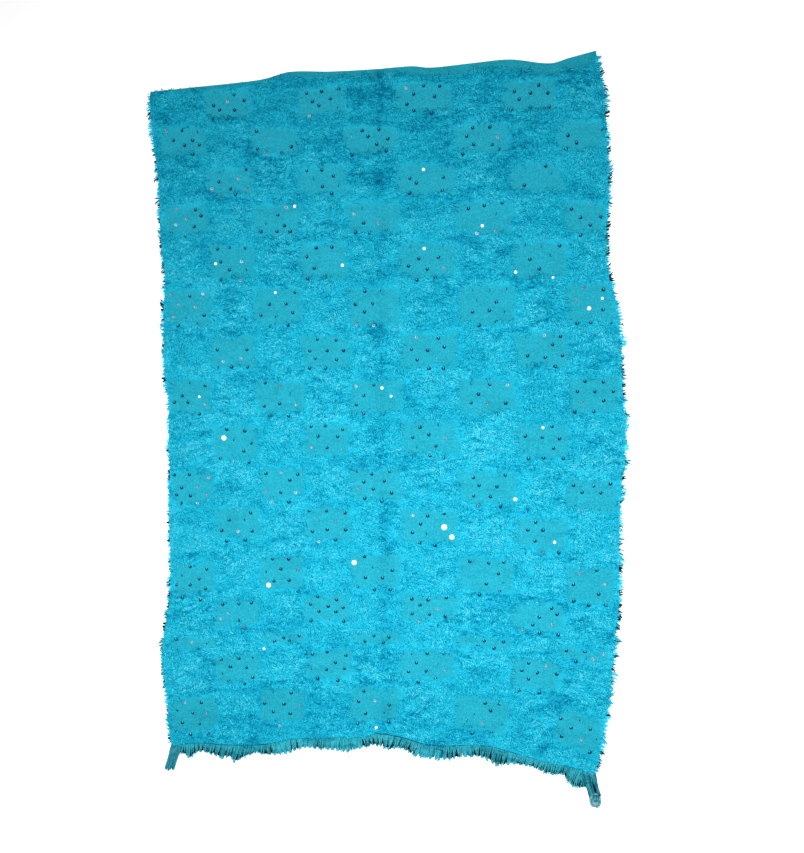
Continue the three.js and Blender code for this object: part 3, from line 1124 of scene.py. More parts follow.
@dataclass
class WovenCloth:
    """The cloth: its woven ground, the matted base of its shag and its flat underside."""

    plan: BlanketPlan
    placement: Placement
    columns: int = 172
    rows: int = 258
    ground: float = 3.0
    mat: float = 7.0
    lump: float = 1.6
    rim: float = 5.0
    fold_depth: float = 2.6
    fold_width: float = 13.0
    fold_in_weave: float = 0.3
    cell_soft: float = 13.0
    header_soft: float = 6.0
    side_span: Span = (0.0, 14.0)
    hem_span: Span = (0.0, 12.0)
    mat_lumps: tuple[Lumps, ...] = (Lumps(0.55, 46, 11), Lumps(0.3, 21, 12), Lumps(0.25, 11, 13))
    ground_lumps: Lumps = Lumps(0.25, 30, 14)
    # Painted shade in the fold, and the header's own duller colour
    fold_shade: float = 0.35
    fold_shade_width: float = 18.0
    header_shade: float = 0.6
    header_shade_soft: float = 4.0
    # Painted light: the flat cells are made lighter towards the top
    weave_painted_light: float = 0.5
    weave_painted_light_span: Span = (150.0, 1000.0)
    sharp_angle: float = math.radians(55)
    x: np.ndarray = field(init=False)
    y: np.ndarray = field(init=False)
    z: np.ndarray = field(init=False)
    shag: np.ndarray = field(init=False)

    def __post_init__(self) -> None:
        """Lays out the grid of the upper face, one row of points after the other."""
        u = np.linspace(0, 1, self.columns)[None, :]
        v = np.linspace(0, 1, self.rows)[:, None]
        x = TOP_EDGE[0].x + (TOP_EDGE[-1].x - TOP_EDGE[0].x) * u + 0 * v
        y = np.zeros_like(x)
        # The sides are read by height and the ends by place across, so both are read in turn
        for _ in range(5):
            y = self.plan.top(x) * (1 - v) + self.plan.hem(x) * v
            x = self.plan.left(y) * (1 - u) + self.plan.right(y) * u
        self.x, self.y = x, y
        woven = 1 - self.plan.cell_share(x, y, self.cell_soft)
        self.shag = woven * (1 - self.plan.header_share(x, y, self.header_soft))
        self.z = self.heights()

    def heights(self) -> np.ndarray:
        """Shapes the upper face.

        Returns:
            Its height at each point of the grid.
        """
        x, y = self.x, self.y
        high = self.mat + self.lump * sum(lumps.at(x, y) for lumps in self.mat_lumps)
        edge = np.minimum(x - self.plan.left(y), self.plan.right(y) - x)
        near = np.minimum(smooth(*self.side_span, edge), smooth(*self.hem_span, y - self.plan.hem(x)))
        high = self.rim + (high - self.rim) * near
        low = self.ground + self.ground_lumps.at(x, y)
        dip = self.fold_depth * self.plan.fold(x, y, self.fold_width) * (low / self.ground)
        dip = dip * (self.fold_in_weave + (1 - self.fold_in_weave) * self.shag)
        return low + (high - low) * self.shag - dip

    def shading(self) -> np.ndarray:
        """Shades the woven ground with painted shade in the fold and near the hem, with painted light
        that lightens the flat cells towards the top, and with the header's own duller colour.

        Returns:
            How dark it is at each point of the grid.
        """
        plan, x, y = self.plan, self.x, self.y
        header = plan.header_share(x, y, self.header_shade_soft)
        fold = plan.fold(x, y, self.fold_shade_width)
        # Painted light on the flat cells towards the top
        painted_light = self.weave_painted_light * smooth(*self.weave_painted_light_span, y) * (1 - self.shag)
        return self.fold_shade * fold + self.header_shade * header - painted_light + plan.painted_hem_shade(x, y)

    def outline(self) -> np.ndarray:
        """Walks round the edge.

        Returns:
            Places in the grid of the edge's points, anticlockwise from above.
        """
        spots = np.arange(self.rows * self.columns).reshape(self.rows, self.columns)
        return np.concatenate([spots[:-1, 0], spots[-1, :-1], spots[:0:-1, -1], spots[0, :0:-1]])

    def build(self, material: bpy.types.Material) -> bpy.types.Object:
        """Makes the cloth as one closed mesh.

        Args:
            material: The finish of the woven ground.

        Returns:
            The cloth's piece.
        """
        upper = self.placement.points(self.x.ravel(), self.y.ravel(), self.z.ravel())
        rim = self.outline()
        lower = upper[rim] * (1, 1, 0)
        base, count = len(upper), len(rim)
        around = np.arange(count)
        after = np.roll(around, -1)
        wall = np.stack([rim, base + around, base + after, rim[after]], -1)
        underside = []
        for a, b, c in geometry.tessellate_polygon([[Vector(point) for point in lower]]):
            turn = (Vector(lower[b]) - Vector(lower[a])).cross(Vector(lower[c]) - Vector(lower[a])).z
            underside.append([base + k for k in ((a, b, c) if turn < 0 else (a, c, b))])
        faces = grid_faces(self.rows, self.columns).tolist() + wall.tolist() + underside
        mesh = mesh_from("blanket_weave", np.concatenate([upper, lower]).tolist(), faces)
        store(mesh, "shag", np.concatenate([self.shag.ravel(), np.zeros(count)]))
        # The shade attribute holds painted shade and painted light, and the header's duller colour
        store(mesh, "shade", np.concatenate([self.shading().ravel(), np.zeros(count)]))
        mesh.shade_smooth()
        mesh.set_sharp_from_angle(angle=self.sharp_angle)
        self.unwrap(mesh)
        mesh.materials.append(material)
        piece = bpy.data.objects.new("blanket_weave", mesh)
        bpy.context.scene.collection.objects.link(piece)
        return settle(piece, "wool_cloth", "blanket_cloth")

    def unwrap(self, mesh: bpy.types.Mesh) -> None:
        """Gives the cloth a flat map of both its faces, in metres.

        Args:
            mesh: The cloth's mesh.
        """
        layer = mesh.uv_layers.new(name="UVMap")
        corners = np.zeros(len(mesh.loops), np.int32)
        mesh.loops.foreach_get("vertex_index", corners)
        points = np.zeros(len(mesh.vertices) * 3, np.float32)
        mesh.vertices.foreach_get("co", points)
        layer.data.foreach_set("uv", points.reshape(-1, 3)[corners, :2].ravel())


@dataclass(frozen=True)
class ShagGround:
    """What the shag grows from: where it is thick, how far its locks reach, how dark painted shade makes
    them.
    """

    cloth: WovenCloth
    cell_soft: float = 15.0
    cell_inset: float = -3.0
    header_soft: float = 4.0
    hem_growth_span: Span = (-3.0, 7.0)
    parting: float = 0.55
    parting_width: float = 5.0
    hem_span: Span = (-2.0, 24.0)
    top_span: Span = (0.0, 26.0)
    side_span: Span = (-12.0, 22.0)
    least_reach: float = 0.4
    beside_soft: float = 40.0
    beside_inset: float = -12.0
    beside_shorter: float = 0.8
    # Painted shade by the cells, in the fold and towards the top
    beside_shade: float = 0.3
    fold_shade: float = 0.75
    fold_shade_width: float = 16.0
    top_shade: float = 0.4
    top_shade_span: Span = (350.0, 1000.0)

    def growth(self, x: np.ndarray, y: np.ndarray) -> np.ndarray:
        """How thick the shag is: none in cells and header, less in the fold.

        Args:
            x: Places across.
            y: Places up the length.

        Returns:
            The growth at each place, from 0 to 1.
        """
        plan = self.cloth.plan
        grown = 1 - plan.cell_share(x, y, self.cell_soft, self.cell_inset)
        grown = grown * (1 - plan.header_share(x, y, self.header_soft))
        grown = grown * smooth(*self.hem_growth_span, y - plan.hem(x))
        return grown * (1 - self.parting * plan.fold(x, y, self.parting_width))

    def beside(self, x: np.ndarray, y: np.ndarray) -> np.ndarray:
        """How near some places are to a flat cell."""
        return self.cloth.plan.cell_share(x, y, self.beside_soft, self.beside_inset)

    def reach(self, x: np.ndarray, y: np.ndarray) -> np.ndarray:
        """How long locks may be, so that they neither cover a cell nor leave the cloth.

        Args:
            x: Places across.
            y: Places up the length.

        Returns:
            The share of their usual length at each place.
        """
        plan = self.cloth.plan
        clear = np.minimum(
            smooth(*self.hem_span, y - plan.hem(x)), smooth(*self.top_span, plan.top(x) - y)
        )
        side = np.minimum(x - plan.left(y), plan.right(y) - x)
        clear = np.minimum(clear, smooth(*self.side_span, side))
        clear = np.minimum(clear, 1 - self.beside_shorter * self.beside(x, y))
        return self.least_reach + (1 - self.least_reach) * clear

    def shade(self, x: np.ndarray, y: np.ndarray) -> np.ndarray:
        """How much painted shade darkens locks: in the fold, towards the top, by a cell and near the
        hem.

        Args:
            x: Places across.
            y: Places up the length.

        Returns:
            How dark they are at each place.
        """
        plan = self.cloth.plan
        shade = self.fold_shade * plan.fold(x, y, self.fold_shade_width)
        shade = shade + self.top_shade * smooth(*self.top_shade_span, y)
        return shade + self.beside_shade * self.beside(x, y) + plan.painted_hem_shade(x, y)

    def band(self, first: float, last: float) -> bpy.types.Mesh:
        """Cuts one band out of the cloth's upper face.

        Args:
            first: Share of the way down where the band starts.
            last: Share of the way down where it ends.

        Returns:
            A mesh that holds the growth, the reach and the painted shade of its points.
        """
        cloth = self.cloth
        rows = slice(round(first * (cloth.rows - 1)), round(last * (cloth.rows - 1)) + 1)
        x, y, z = (part[rows] for part in (cloth.x, cloth.y, cloth.z))
        points = cloth.placement.points(x.ravel(), y.ravel(), z.ravel())
        mesh = mesh_from("shag_ground", points.tolist(), grid_faces(*x.shape).tolist())
        store(mesh, "growth", self.growth(x, y).ravel())
        store(mesh, "reach", self.reach(x, y).ravel())
        # The shade attribute is painted shade
        store(mesh, "shade", self.shade(x, y).ravel())
        return mesh


class Curl(NamedTuple):
    """How a lock curls: sideways at a third, two thirds and its tip, and how high it stands."""

    first: float
    second: float
    tip: float
    lift: float


@dataclass
class Shag:
    """The shag: curved locks of wool that lie every way over the matted base."""

    cloth: WovenCloth
    bands: int = 4
    density: float = 36000.0
    length: float = 20.0
    width: float = 2.7
    spread: float = 0.9
    swirl: float = 13.0
    swirl_scale: float = 16.0
    root_size: float = 0.09
    tip_size: float = 0.08
    root_height: Span = (-0.5, 2.6)
    tilt: Span = (-0.22, 0.1)
    roll: Span = (-0.6, 0.6)
    lengths: Span = (0.6, 1.25)
    widths: Span = (3.5, 6.75)
    flatness: float = 0.8
    curls: tuple[Curl, ...] = (
        Curl(0.07, 0.05, -0.08, 0.09),
        Curl(-0.08, -0.06, 0.09, 0.07),
        Curl(0.03, 0.12, 0.28, 0.11),
        Curl(-0.03, -0.14, -0.31, 0.08),
        Curl(0.1, 0.16, 0.12, 0.1),
    )

    def lock(self, curl: Curl) -> bpy.types.Object:
        """One lock of unit length along x, with three sides and two fine ends.

        Args:
            curl: How the lock curls on its way to its tip.

        Returns:
            A helper object that holds the lock's shape.
        """
        points = [(0.0, 0.0, -0.08)]
        for x, y, z, size in (
            (0.3, curl.first, curl.lift, self.root_size),
            (0.68, curl.second, curl.lift * 0.9, self.tip_size),
        ):
            for corner in range(3):
                angle = 2 * math.pi * (corner + 0.25) / 3
                points.append((x, y + size * math.cos(angle), z + size * math.sin(angle)))
        points.append((1.0, curl.tip, curl.lift * 0.4))
        faces = [[0, 1 + (k + 1) % 3, 1 + k] for k in range(3)]
        faces += [[1 + k, 1 + (k + 1) % 3, 4 + (k + 1) % 3, 4 + k] for k in range(3)]
        faces += [[7, 4 + k, 4 + (k + 1) % 3] for k in range(3)]
        mesh = mesh_from("lock", points, faces)
        store(mesh, "along", np.array([0.0, 0.35, 0.35, 0.35, 0.7, 0.7, 0.7, 1.0]))
        mesh.shade_smooth()
        return bpy.data.objects.new("lock", mesh)

    def locks(self) -> bpy.types.Collection:
        """Makes every shape of lock.

        Returns:
            The collection that a tree picks from.
        """
        group = bpy.data.collections.new("locks")
        for curl in self.curls:
            group.objects.link(self.lock(curl))
        return group

    def tree(self) -> FormTree:
        """Makes the tree that scatters locks over a face.

        Returns:
            The tree, which reads the face's growth and reach.
        """
        form = FormTree("shag")
        wire = form.wire
        given = form.take(
            Density="Float", Length="Float", Width="Float", Spread="Float", Swirl="Float",
            Seed="Int", Locks="Collection", Finish="Material",
        )
        density = wire.sums("MULTIPLY", form.named("growth"), given["Density"])
        wires = {"Mesh": given["Geometry"], "Density": density, "Seed": given["Seed"]}
        points = wire.node("GeometryNodeDistributePointsOnFaces", wires, distribute_method="RANDOM")
        height = form.chance(*(part * MM for part in self.root_height), 16)
        lift = wire.node("ShaderNodeCombineXYZ", {"Z": height}).outputs[0]
        wires = {"Geometry": points.outputs[0], "Offset": lift}
        raised = wire.node("GeometryNodeSetPosition", wires).outputs[0]

        place = wire.node("GeometryNodeInputPosition").outputs[0]
        swirl = wire.sums("SUBTRACT", wire.noise(place, self.swirl_scale, Detail=1.0), 0.5)
        stray = wire.sums("MULTIPLY", form.chance(-1.0, 1.0, 11), given["Spread"])
        turn = wire.sums("MULTIPLY_ADD", swirl, given["Swirl"], stray)
        tilt, roll = form.chance(*self.tilt, 12), form.chance(*self.roll, 13)
        rotation = wire.node("ShaderNodeCombineXYZ", {"X": roll, "Y": tilt, "Z": turn}).outputs[0]

        long = wire.sums("MULTIPLY", form.chance(*self.lengths, 14), given["Length"])
        long = wire.sums("MULTIPLY", long, form.named("reach"))
        wide = wire.sums("MULTIPLY", form.chance(*self.widths, 15), given["Width"])
        wires = {"X": long, "Y": wide, "Z": wire.sums("MULTIPLY", wide, self.flatness)}
        scale = wire.node("ShaderNodeCombineXYZ", wires).outputs[0]

        wires = {"Collection": given["Locks"], "Separate Children": True}
        shapes = wire.node("GeometryNodeCollectionInfo", wires).outputs[0]
        wires = {"Min": 0, "Max": len(self.curls) - 1, "Seed": 17}
        curl = wire.node("FunctionNodeRandomValue", wires, data_type="INT")
        wires = {
            "Points": raised, "Instance": shapes, "Pick Instance": True,
            "Instance Index": pick(curl.outputs, "Value"), "Rotation": rotation, "Scale": scale,
        }
        laid = wire.node("GeometryNodeInstanceOnPoints", wires).outputs[0]
        wires = {"Geometry": laid, "Name": "tone", "Value": form.chance(0.0, 1.0, 18)}
        toned = wire.node(
            "GeometryNodeStoreNamedAttribute", wires, data_type="FLOAT", domain="INSTANCE"
        )
        form.give(toned.outputs[0], given["Finish"])
        return form

    def build(self, material: bpy.types.Material) -> list[bpy.types.Object]:
        """Makes the shag in bands from the top down.

        Args:
            material: The finish of the shag.

        Returns:
            One piece for each band.
        """
        form = self.tree()
        locks = self.locks()
        ground = ShagGround(self.cloth)
        pieces = []
        for band in range(self.bands):
            source = ground.band(band / self.bands, (band + 1) / self.bands)
            piece = form.run(
                f"shag_band_{band + 1}", source, Density=self.density, Length=self.length * MM,
                Width=self.width * MM, Spread=self.spread, Swirl=self.swirl, Seed=band + 21,
                Locks=locks, Finish=material,
            )
            pieces.append(settle(piece, "wool_shag"))
        for helper in list(locks.objects):
            bpy.data.objects.remove(helper)
        bpy.data.collections.remove(locks)
        return pieces


class DiscLine(NamedTuple):
    """One line of discs across a flat cell: how far down it lies, and how many discs."""

    down: float
    count: int


class RingOfDisc(NamedTuple):
    """One ring of a disc, as shares of its radius, its dish and its thickness."""

    out: float
    sunk: float
    under: float


@dataclass
class DiscSpot:
    """Where one disc lies, how it is tipped and turned, its size and its painted glint."""

    x: float
    y: float
    lean: float
    side: float
    turn: float
    size: float
    gleam: float = 0.0


@dataclass
class SewnDiscs:
    """The cupped discs, sewn to each flat cell in a zigzag, and their stitches."""

    cloth: WovenCloth
    radius: float = 4.8
    dish: float = 1.3
    thickness: float = 0.5
    sides: int = 12
    stitch_width: float = 1.5
    three_apart: float = 0.36
    two_apart: float = 0.4
    jitter: float = 6.0
    missing: float = 0.1
    missing_at_top: float = 0.28
    edge_on: float = 0.13
    # Chance of a weaker painted glint on a disc
    weak_glint_chance: float = 0.16
    top_rows: int = 4
    low_row: float = 50.0
    leans: Span = (0.05, 0.45)
    sides_tip: Span = (-0.35, 0.35)
    turns: Span = (-0.5, 0.5)
    sizes: Span = (0.92, 1.06)
    edge_on_tip: Span = (1.15, 1.45)
    # Strength of a weaker painted glint, and the tip of discs with a full one
    weak_glints: Span = (0.15, 0.45)
    glint_tip: float = 0.1
    margin: float = 6.0
    above_weave: float = 2.4
    above_mat: float = 5.8
    thread_pose: tuple[float, float, float] = (0.4, 0.15, 1.0)
    lines: tuple[DiscLine, ...] = (
        DiscLine(0.12, 3), DiscLine(0.44, 2), DiscLine(0.74, 3), DiscLine(1.06, 2),
    )
    lines_in_low_row: tuple[DiscLine, ...] = (DiscLine(0.3, 2), DiscLine(0.9, 3))
    rings: tuple[RingOfDisc, ...] = (
        RingOfDisc(0.16, -0.95, 0.0),
        RingOfDisc(0.62, -0.75, 0.0),
        RingOfDisc(1.0, 0.0, 0.0),
        RingOfDisc(0.62, -0.75, -1.0),
    )

    def shape(self) -> bpy.types.Object:
        """Makes one disc round the origin, hollow side up, with a small hole to sew through.

        Returns:
            A helper object that holds the disc's shape.
        """
        points = []
        for ring in self.rings:
            out = self.radius * ring.out * MM
            high = (self.dish * ring.sunk + self.thickness * ring.under) * MM
            for k in range(self.sides):
                angle = 2 * math.pi * k / self.sides
                points.append((out * math.cos(angle), out * math.sin(angle), high))
        faces = []
        for ring in range(len(self.rings)):
            here, there = ring * self.sides, (ring + 1) % len(self.rings) * self.sides
            for k in range(self.sides):
                after = (k + 1) % self.sides
                faces.append([here + k, there + k, there + after, here + after])
        mesh = mesh_from("disc", points, faces)
        mesh.shade_smooth()
        return bpy.data.objects.new("disc", mesh)

    def stitch(self) -> bpy.types.Object:
        """Makes the thread that runs from the disc's hole over its upper rim into the cloth.

        Returns:
            A helper object that holds the stitch's shape.
        """
        rim = self.radius
        path = ((0.0, -1.6), (0.3, 0.5), (rim * 0.6, 0.7), (rim + 0.8, 0.0), (rim + 1.2, -2.4))
        section = ((-1, 0), (0, -1), (1, 0), (0, 1))
        width = self.stitch_width
        points = []
        for y, z in path:
            for aside, up in section:
                points.append((aside * width * MM, (y + 0.2 * up) * MM, (z + 0.3 * up * width) * MM))
        last = len(points) - 4
        faces = [[3, 2, 1, 0], [last, last + 1, last + 2, last + 3]]
        for start in range(0, last, 4):
            for k in range(4):
                a, b = start + k, start + (k + 1) % 4
                faces.append([a, b, b + 4, a + 4])
        mesh = mesh_from("stitch", points, faces)
        store(mesh, "along", np.full(len(points), 0.5))
        mesh.shade_smooth()
        return bpy.data.objects.new("stitch", mesh)

    def cell_spots(self, row: int, index: int, rng: random.Random) -> list[DiscSpot]:
        """Lays out the discs of one flat cell.

        Args:
            row: The cell's row.
            index: The cell's column.
            rng: Where chance comes from.

        Returns:
            The discs that aren't missing.
        """
        plan, cells = self.cloth.plan, ROWS[row]
        x = float(plan.column_middle(index, cells.middle))
        y = float(plan.row_middle(row, x, cells.middle))
        swapped = rng.choice((False, True))
        found = []
        for line in self.lines if cells.tall > self.low_row else self.lines_in_low_row:
            count = 5 - line.count if swapped else line.count
            apart = (self.three_apart if count == 3 else self.two_apart) * plan.cell_width
            for k in range(count):
                spot = DiscSpot(
                    x=x + (k - (count - 1) / 2) * apart + rng.uniform(-1, 1) * self.jitter,
                    y=y + cells.tall * (0.5 - line.down) + rng.uniform(-1, 1) * self.jitter,
                    lean=rng.uniform(*self.leans),
                    side=rng.uniform(*self.sides_tip),
                    turn=rng.uniform(*self.turns),
                    size=rng.uniform(*self.sizes),
                )
                if rng.random() < (self.missing_at_top if row < self.top_rows else self.missing):
                    continue
                if rng.random() < self.edge_on:
                    spot.side = rng.choice((-1, 1)) * rng.uniform(*self.edge_on_tip)
                # A weaker painted glint on some discs
                if rng.random() < self.weak_glint_chance:
                    spot.gleam = rng.uniform(*self.weak_glints)
                found.append(spot)
        return found

    def places(self) -> list[DiscSpot]:
        """Lays out every disc, and turns those with a painted glint to the light.

        Returns:
            All discs.
        """
        rng = random.Random(17)
        found: list[DiscSpot] = []
        for row in range(len(ROWS)):
            for index in range((row + 1) % 2, len(COLUMNS), 2):
                found += self.cell_spots(row, index, rng)
        # Painted glint: the nearest plain disc to each listed place is moved there and given a full
        # glint
        for bright in PAINTED_GLINTS:
            plain = [spot for spot in found if spot.gleam < 1]
            near = min(plain, key=lambda spot: math.hypot(spot.x - bright.x, spot.y - bright.y))
            near.x, near.y, near.size = bright.x, bright.y, bright.size
            near.gleam, near.side, near.lean = 1.0, self.glint_tip, self.glint_tip
        return found

    def points(self, brightest: float) -> bpy.types.Mesh:
        """Makes the points that discs or stitches are laid on.

        Args:
            brightest: The painted glint up to which discs count.

        Returns:
            A mesh with the pose, size and painted glint of each disc that lies within the cloth.
        """
        plan, cloth = self.cloth.plan, self.cloth
        spots = [
            spot for spot in self.places()
            if spot.gleam <= brightest
            and plan.left(spot.y) + self.margin < spot.x < plan.right(spot.y) - self.margin
        ]
        x, y = np.array([spot.x for spot in spots]), np.array([spot.y for spot in spots])
        shag = 1 - plan.cell_share(x, y, 6.0)
        over_weave, over_mat = cloth.ground + self.above_weave, cloth.mat + self.above_mat
        z = over_weave + shag * (over_mat - over_weave)
        mesh = mesh_from("disc_points", cloth.placement.points(x, y, z).tolist(), [])
        poses = np.array([(spot.lean, spot.side, spot.turn) for spot in spots])
        store(mesh, "pose", poses)
        store(mesh, "thread_pose", poses * self.thread_pose)
        # The painted glint of each disc
        store(mesh, "gleam", np.array([spot.gleam for spot in spots]))
        store(mesh, "size", np.array([spot.size for spot in spots]))
        store(mesh, "tone", np.linspace(0.2, 0.8, len(spots)))
        return mesh

    def tree(self) -> FormTree:
        """Makes the tree that lays one shape on each point.

        Returns:
            The tree, which turns the shape by the attribute that is named to it.
        """
        form = FormTree("sewn shapes")
        given = form.take(Shape="Object", Pose="String", Finish="Material")
        pose = form.named(given["Pose"], "FLOAT_VECTOR")
        shape = form.wire.node("GeometryNodeObjectInfo", {"Object": given["Shape"]})
        size = form.named("size")
        scale = form.wire.node("ShaderNodeCombineXYZ", {"X": size, "Y": size, "Z": size})
        wires = {
            "Points": given["Geometry"], "Instance": shape.outputs["Geometry"],
            "Rotation": pose, "Scale": scale.outputs[0],
        }
        laid = form.wire.node("GeometryNodeInstanceOnPoints", wires).outputs[0]
        form.give(laid, given["Finish"])
        return form

    def build(
        self, metal: bpy.types.Material, thread: bpy.types.Material
    ) -> list[bpy.types.Object]:
        """Makes the discs and their stitches, apart from the stitches of discs with a full painted
        glint.

        Args:
            metal: The finish of the discs.
            thread: The finish of the stitches.

        Returns:
            The piece of all discs and the piece of all stitches.
        """
        form = self.tree()
        pieces = []
        for name, shape, pose, finish, slot, brightest in (
            ("sewn_discs", self.shape(), "pose", metal, "sequin_metal", 1.0),
            ("disc_stitches", self.stitch(), "thread_pose", thread, "wool_cloth", 0.9),
        ):
            bpy.context.scene.collection.objects.link(shape)
            points = self.points(brightest)
            piece = form.run(name, points, Shape=shape, Pose=pose, Finish=finish)
            bpy.data.objects.remove(shape)
            pieces.append(settle(piece, slot))
        return pieces


class Yarn(NamedTuple):
    """One yarn: its points in plan millimetres, its thickness at each, and its shade."""

    points: np.ndarray
    thickness: np.ndarray
    tone: float


@dataclass
class YarnWork:
    """Makes pieces of many yarns that each follow their own path."""

    placement: Placement
    sides: int = 4
    form: FormTree = field(init=False)

    def __post_init__(self) -> None:
        """Builds the tree that gives paths their thickness."""
        self.form = FormTree("yarns")
        wire = self.form.wire
        given = self.form.take(Sides="Int", Finish="Material")
        curve = wire.node("GeometryNodeMeshToCurve", {"Mesh": given["Geometry"]}).outputs[0]
        wires = {"Resolution": given["Sides"], "Radius": 1.0}
        ring = wire.node("GeometryNodeCurvePrimitiveCircle", wires).outputs[0]
        wires = {
            "Curve": curve, "Profile Curve": ring, "Scale": self.form.named("thickness"),
            "Fill Caps": True,
        }
        tube = wire.node("GeometryNodeCurveToMesh", wires).outputs[0]
        self.form.give(tube, given["Finish"])

    def make(
        self, name: str, yarns: list[Yarn], material: bpy.types.Material
    ) -> bpy.types.Object:
        """Makes one piece of yarns.

        Args:
            name: The piece's name.
            yarns: The yarns' paths.
            material: The yarns' finish.

        Returns:
            The piece.
        """
        joined = np.concatenate([yarn.points for yarn in yarns])
        points = self.placement.points(joined[:, 0], joined[:, 1], joined[:, 2])
        edges = []
        start = 0
        for yarn in yarns:
            edges += [(start + k, start + k + 1) for k in range(len(yarn.points) - 1)]
            start += len(yarn.points)
        mesh = mesh_from(f"{name}_paths", points.tolist(), [], edges)
        store(mesh, "thickness", np.concatenate([yarn.thickness for yarn in yarns]) * MM)
        store(mesh, "along", np.concatenate([np.linspace(0, 1, len(yarn.points)) for yarn in yarns]))
        store(mesh, "tone", np.concatenate([np.full(len(yarn.points), yarn.tone) for yarn in yarns]))
        piece = self.form.run(name, mesh, Sides=self.sides, Finish=material)
        piece.data.shade_smooth()
        return piece


@dataclass
class Rim:
    """One edge of the cloth as a path that is read by its length, from its first point."""

    points: np.ndarray
    reach: float = 14.0
    lengths: np.ndarray = field(init=False)

    def __post_init__(self) -> None:
        """Measures the path."""
        steps = np.hypot(*np.diff(self.points, axis=0).T)
        self.lengths = np.concatenate([[0.0], np.cumsum(steps)])

    @property
    def total(self) -> float:
        """The path's whole length."""
        return float(self.lengths[-1])

    def place(self, distance: float) -> np.ndarray:
        """The point at a distance along the path."""
        return np.array([np.interp(distance, self.lengths, self.points[:, k]) for k in (0, 1)])

    def frame(self, distance: float) -> tuple[np.ndarray, np.ndarray, np.ndarray]:
        """Reads the edge at one place.

        Args:
            distance: How far along the path it lies.

        Returns:
            The point, the way out of the cloth and the way along the edge.
        """
        after = self.place(min(distance + self.reach, self.total))
        before = self.place(max(distance - self.reach, 0.0))
        along = (after - before) / np.hypot(*(after - before))
        return self.place(distance), np.array([along[1], -along[0]]), along


class FringeLayer(NamedTuple):
    """One layer of the fringe: shares of the usual length, clumping, thickness, taper and
    spacing, and the height of its yarns at their roots and their tips."""

    length: float
    pull: float
    size: float
    taper: float
    spacing: float
    root: float
    tip: float


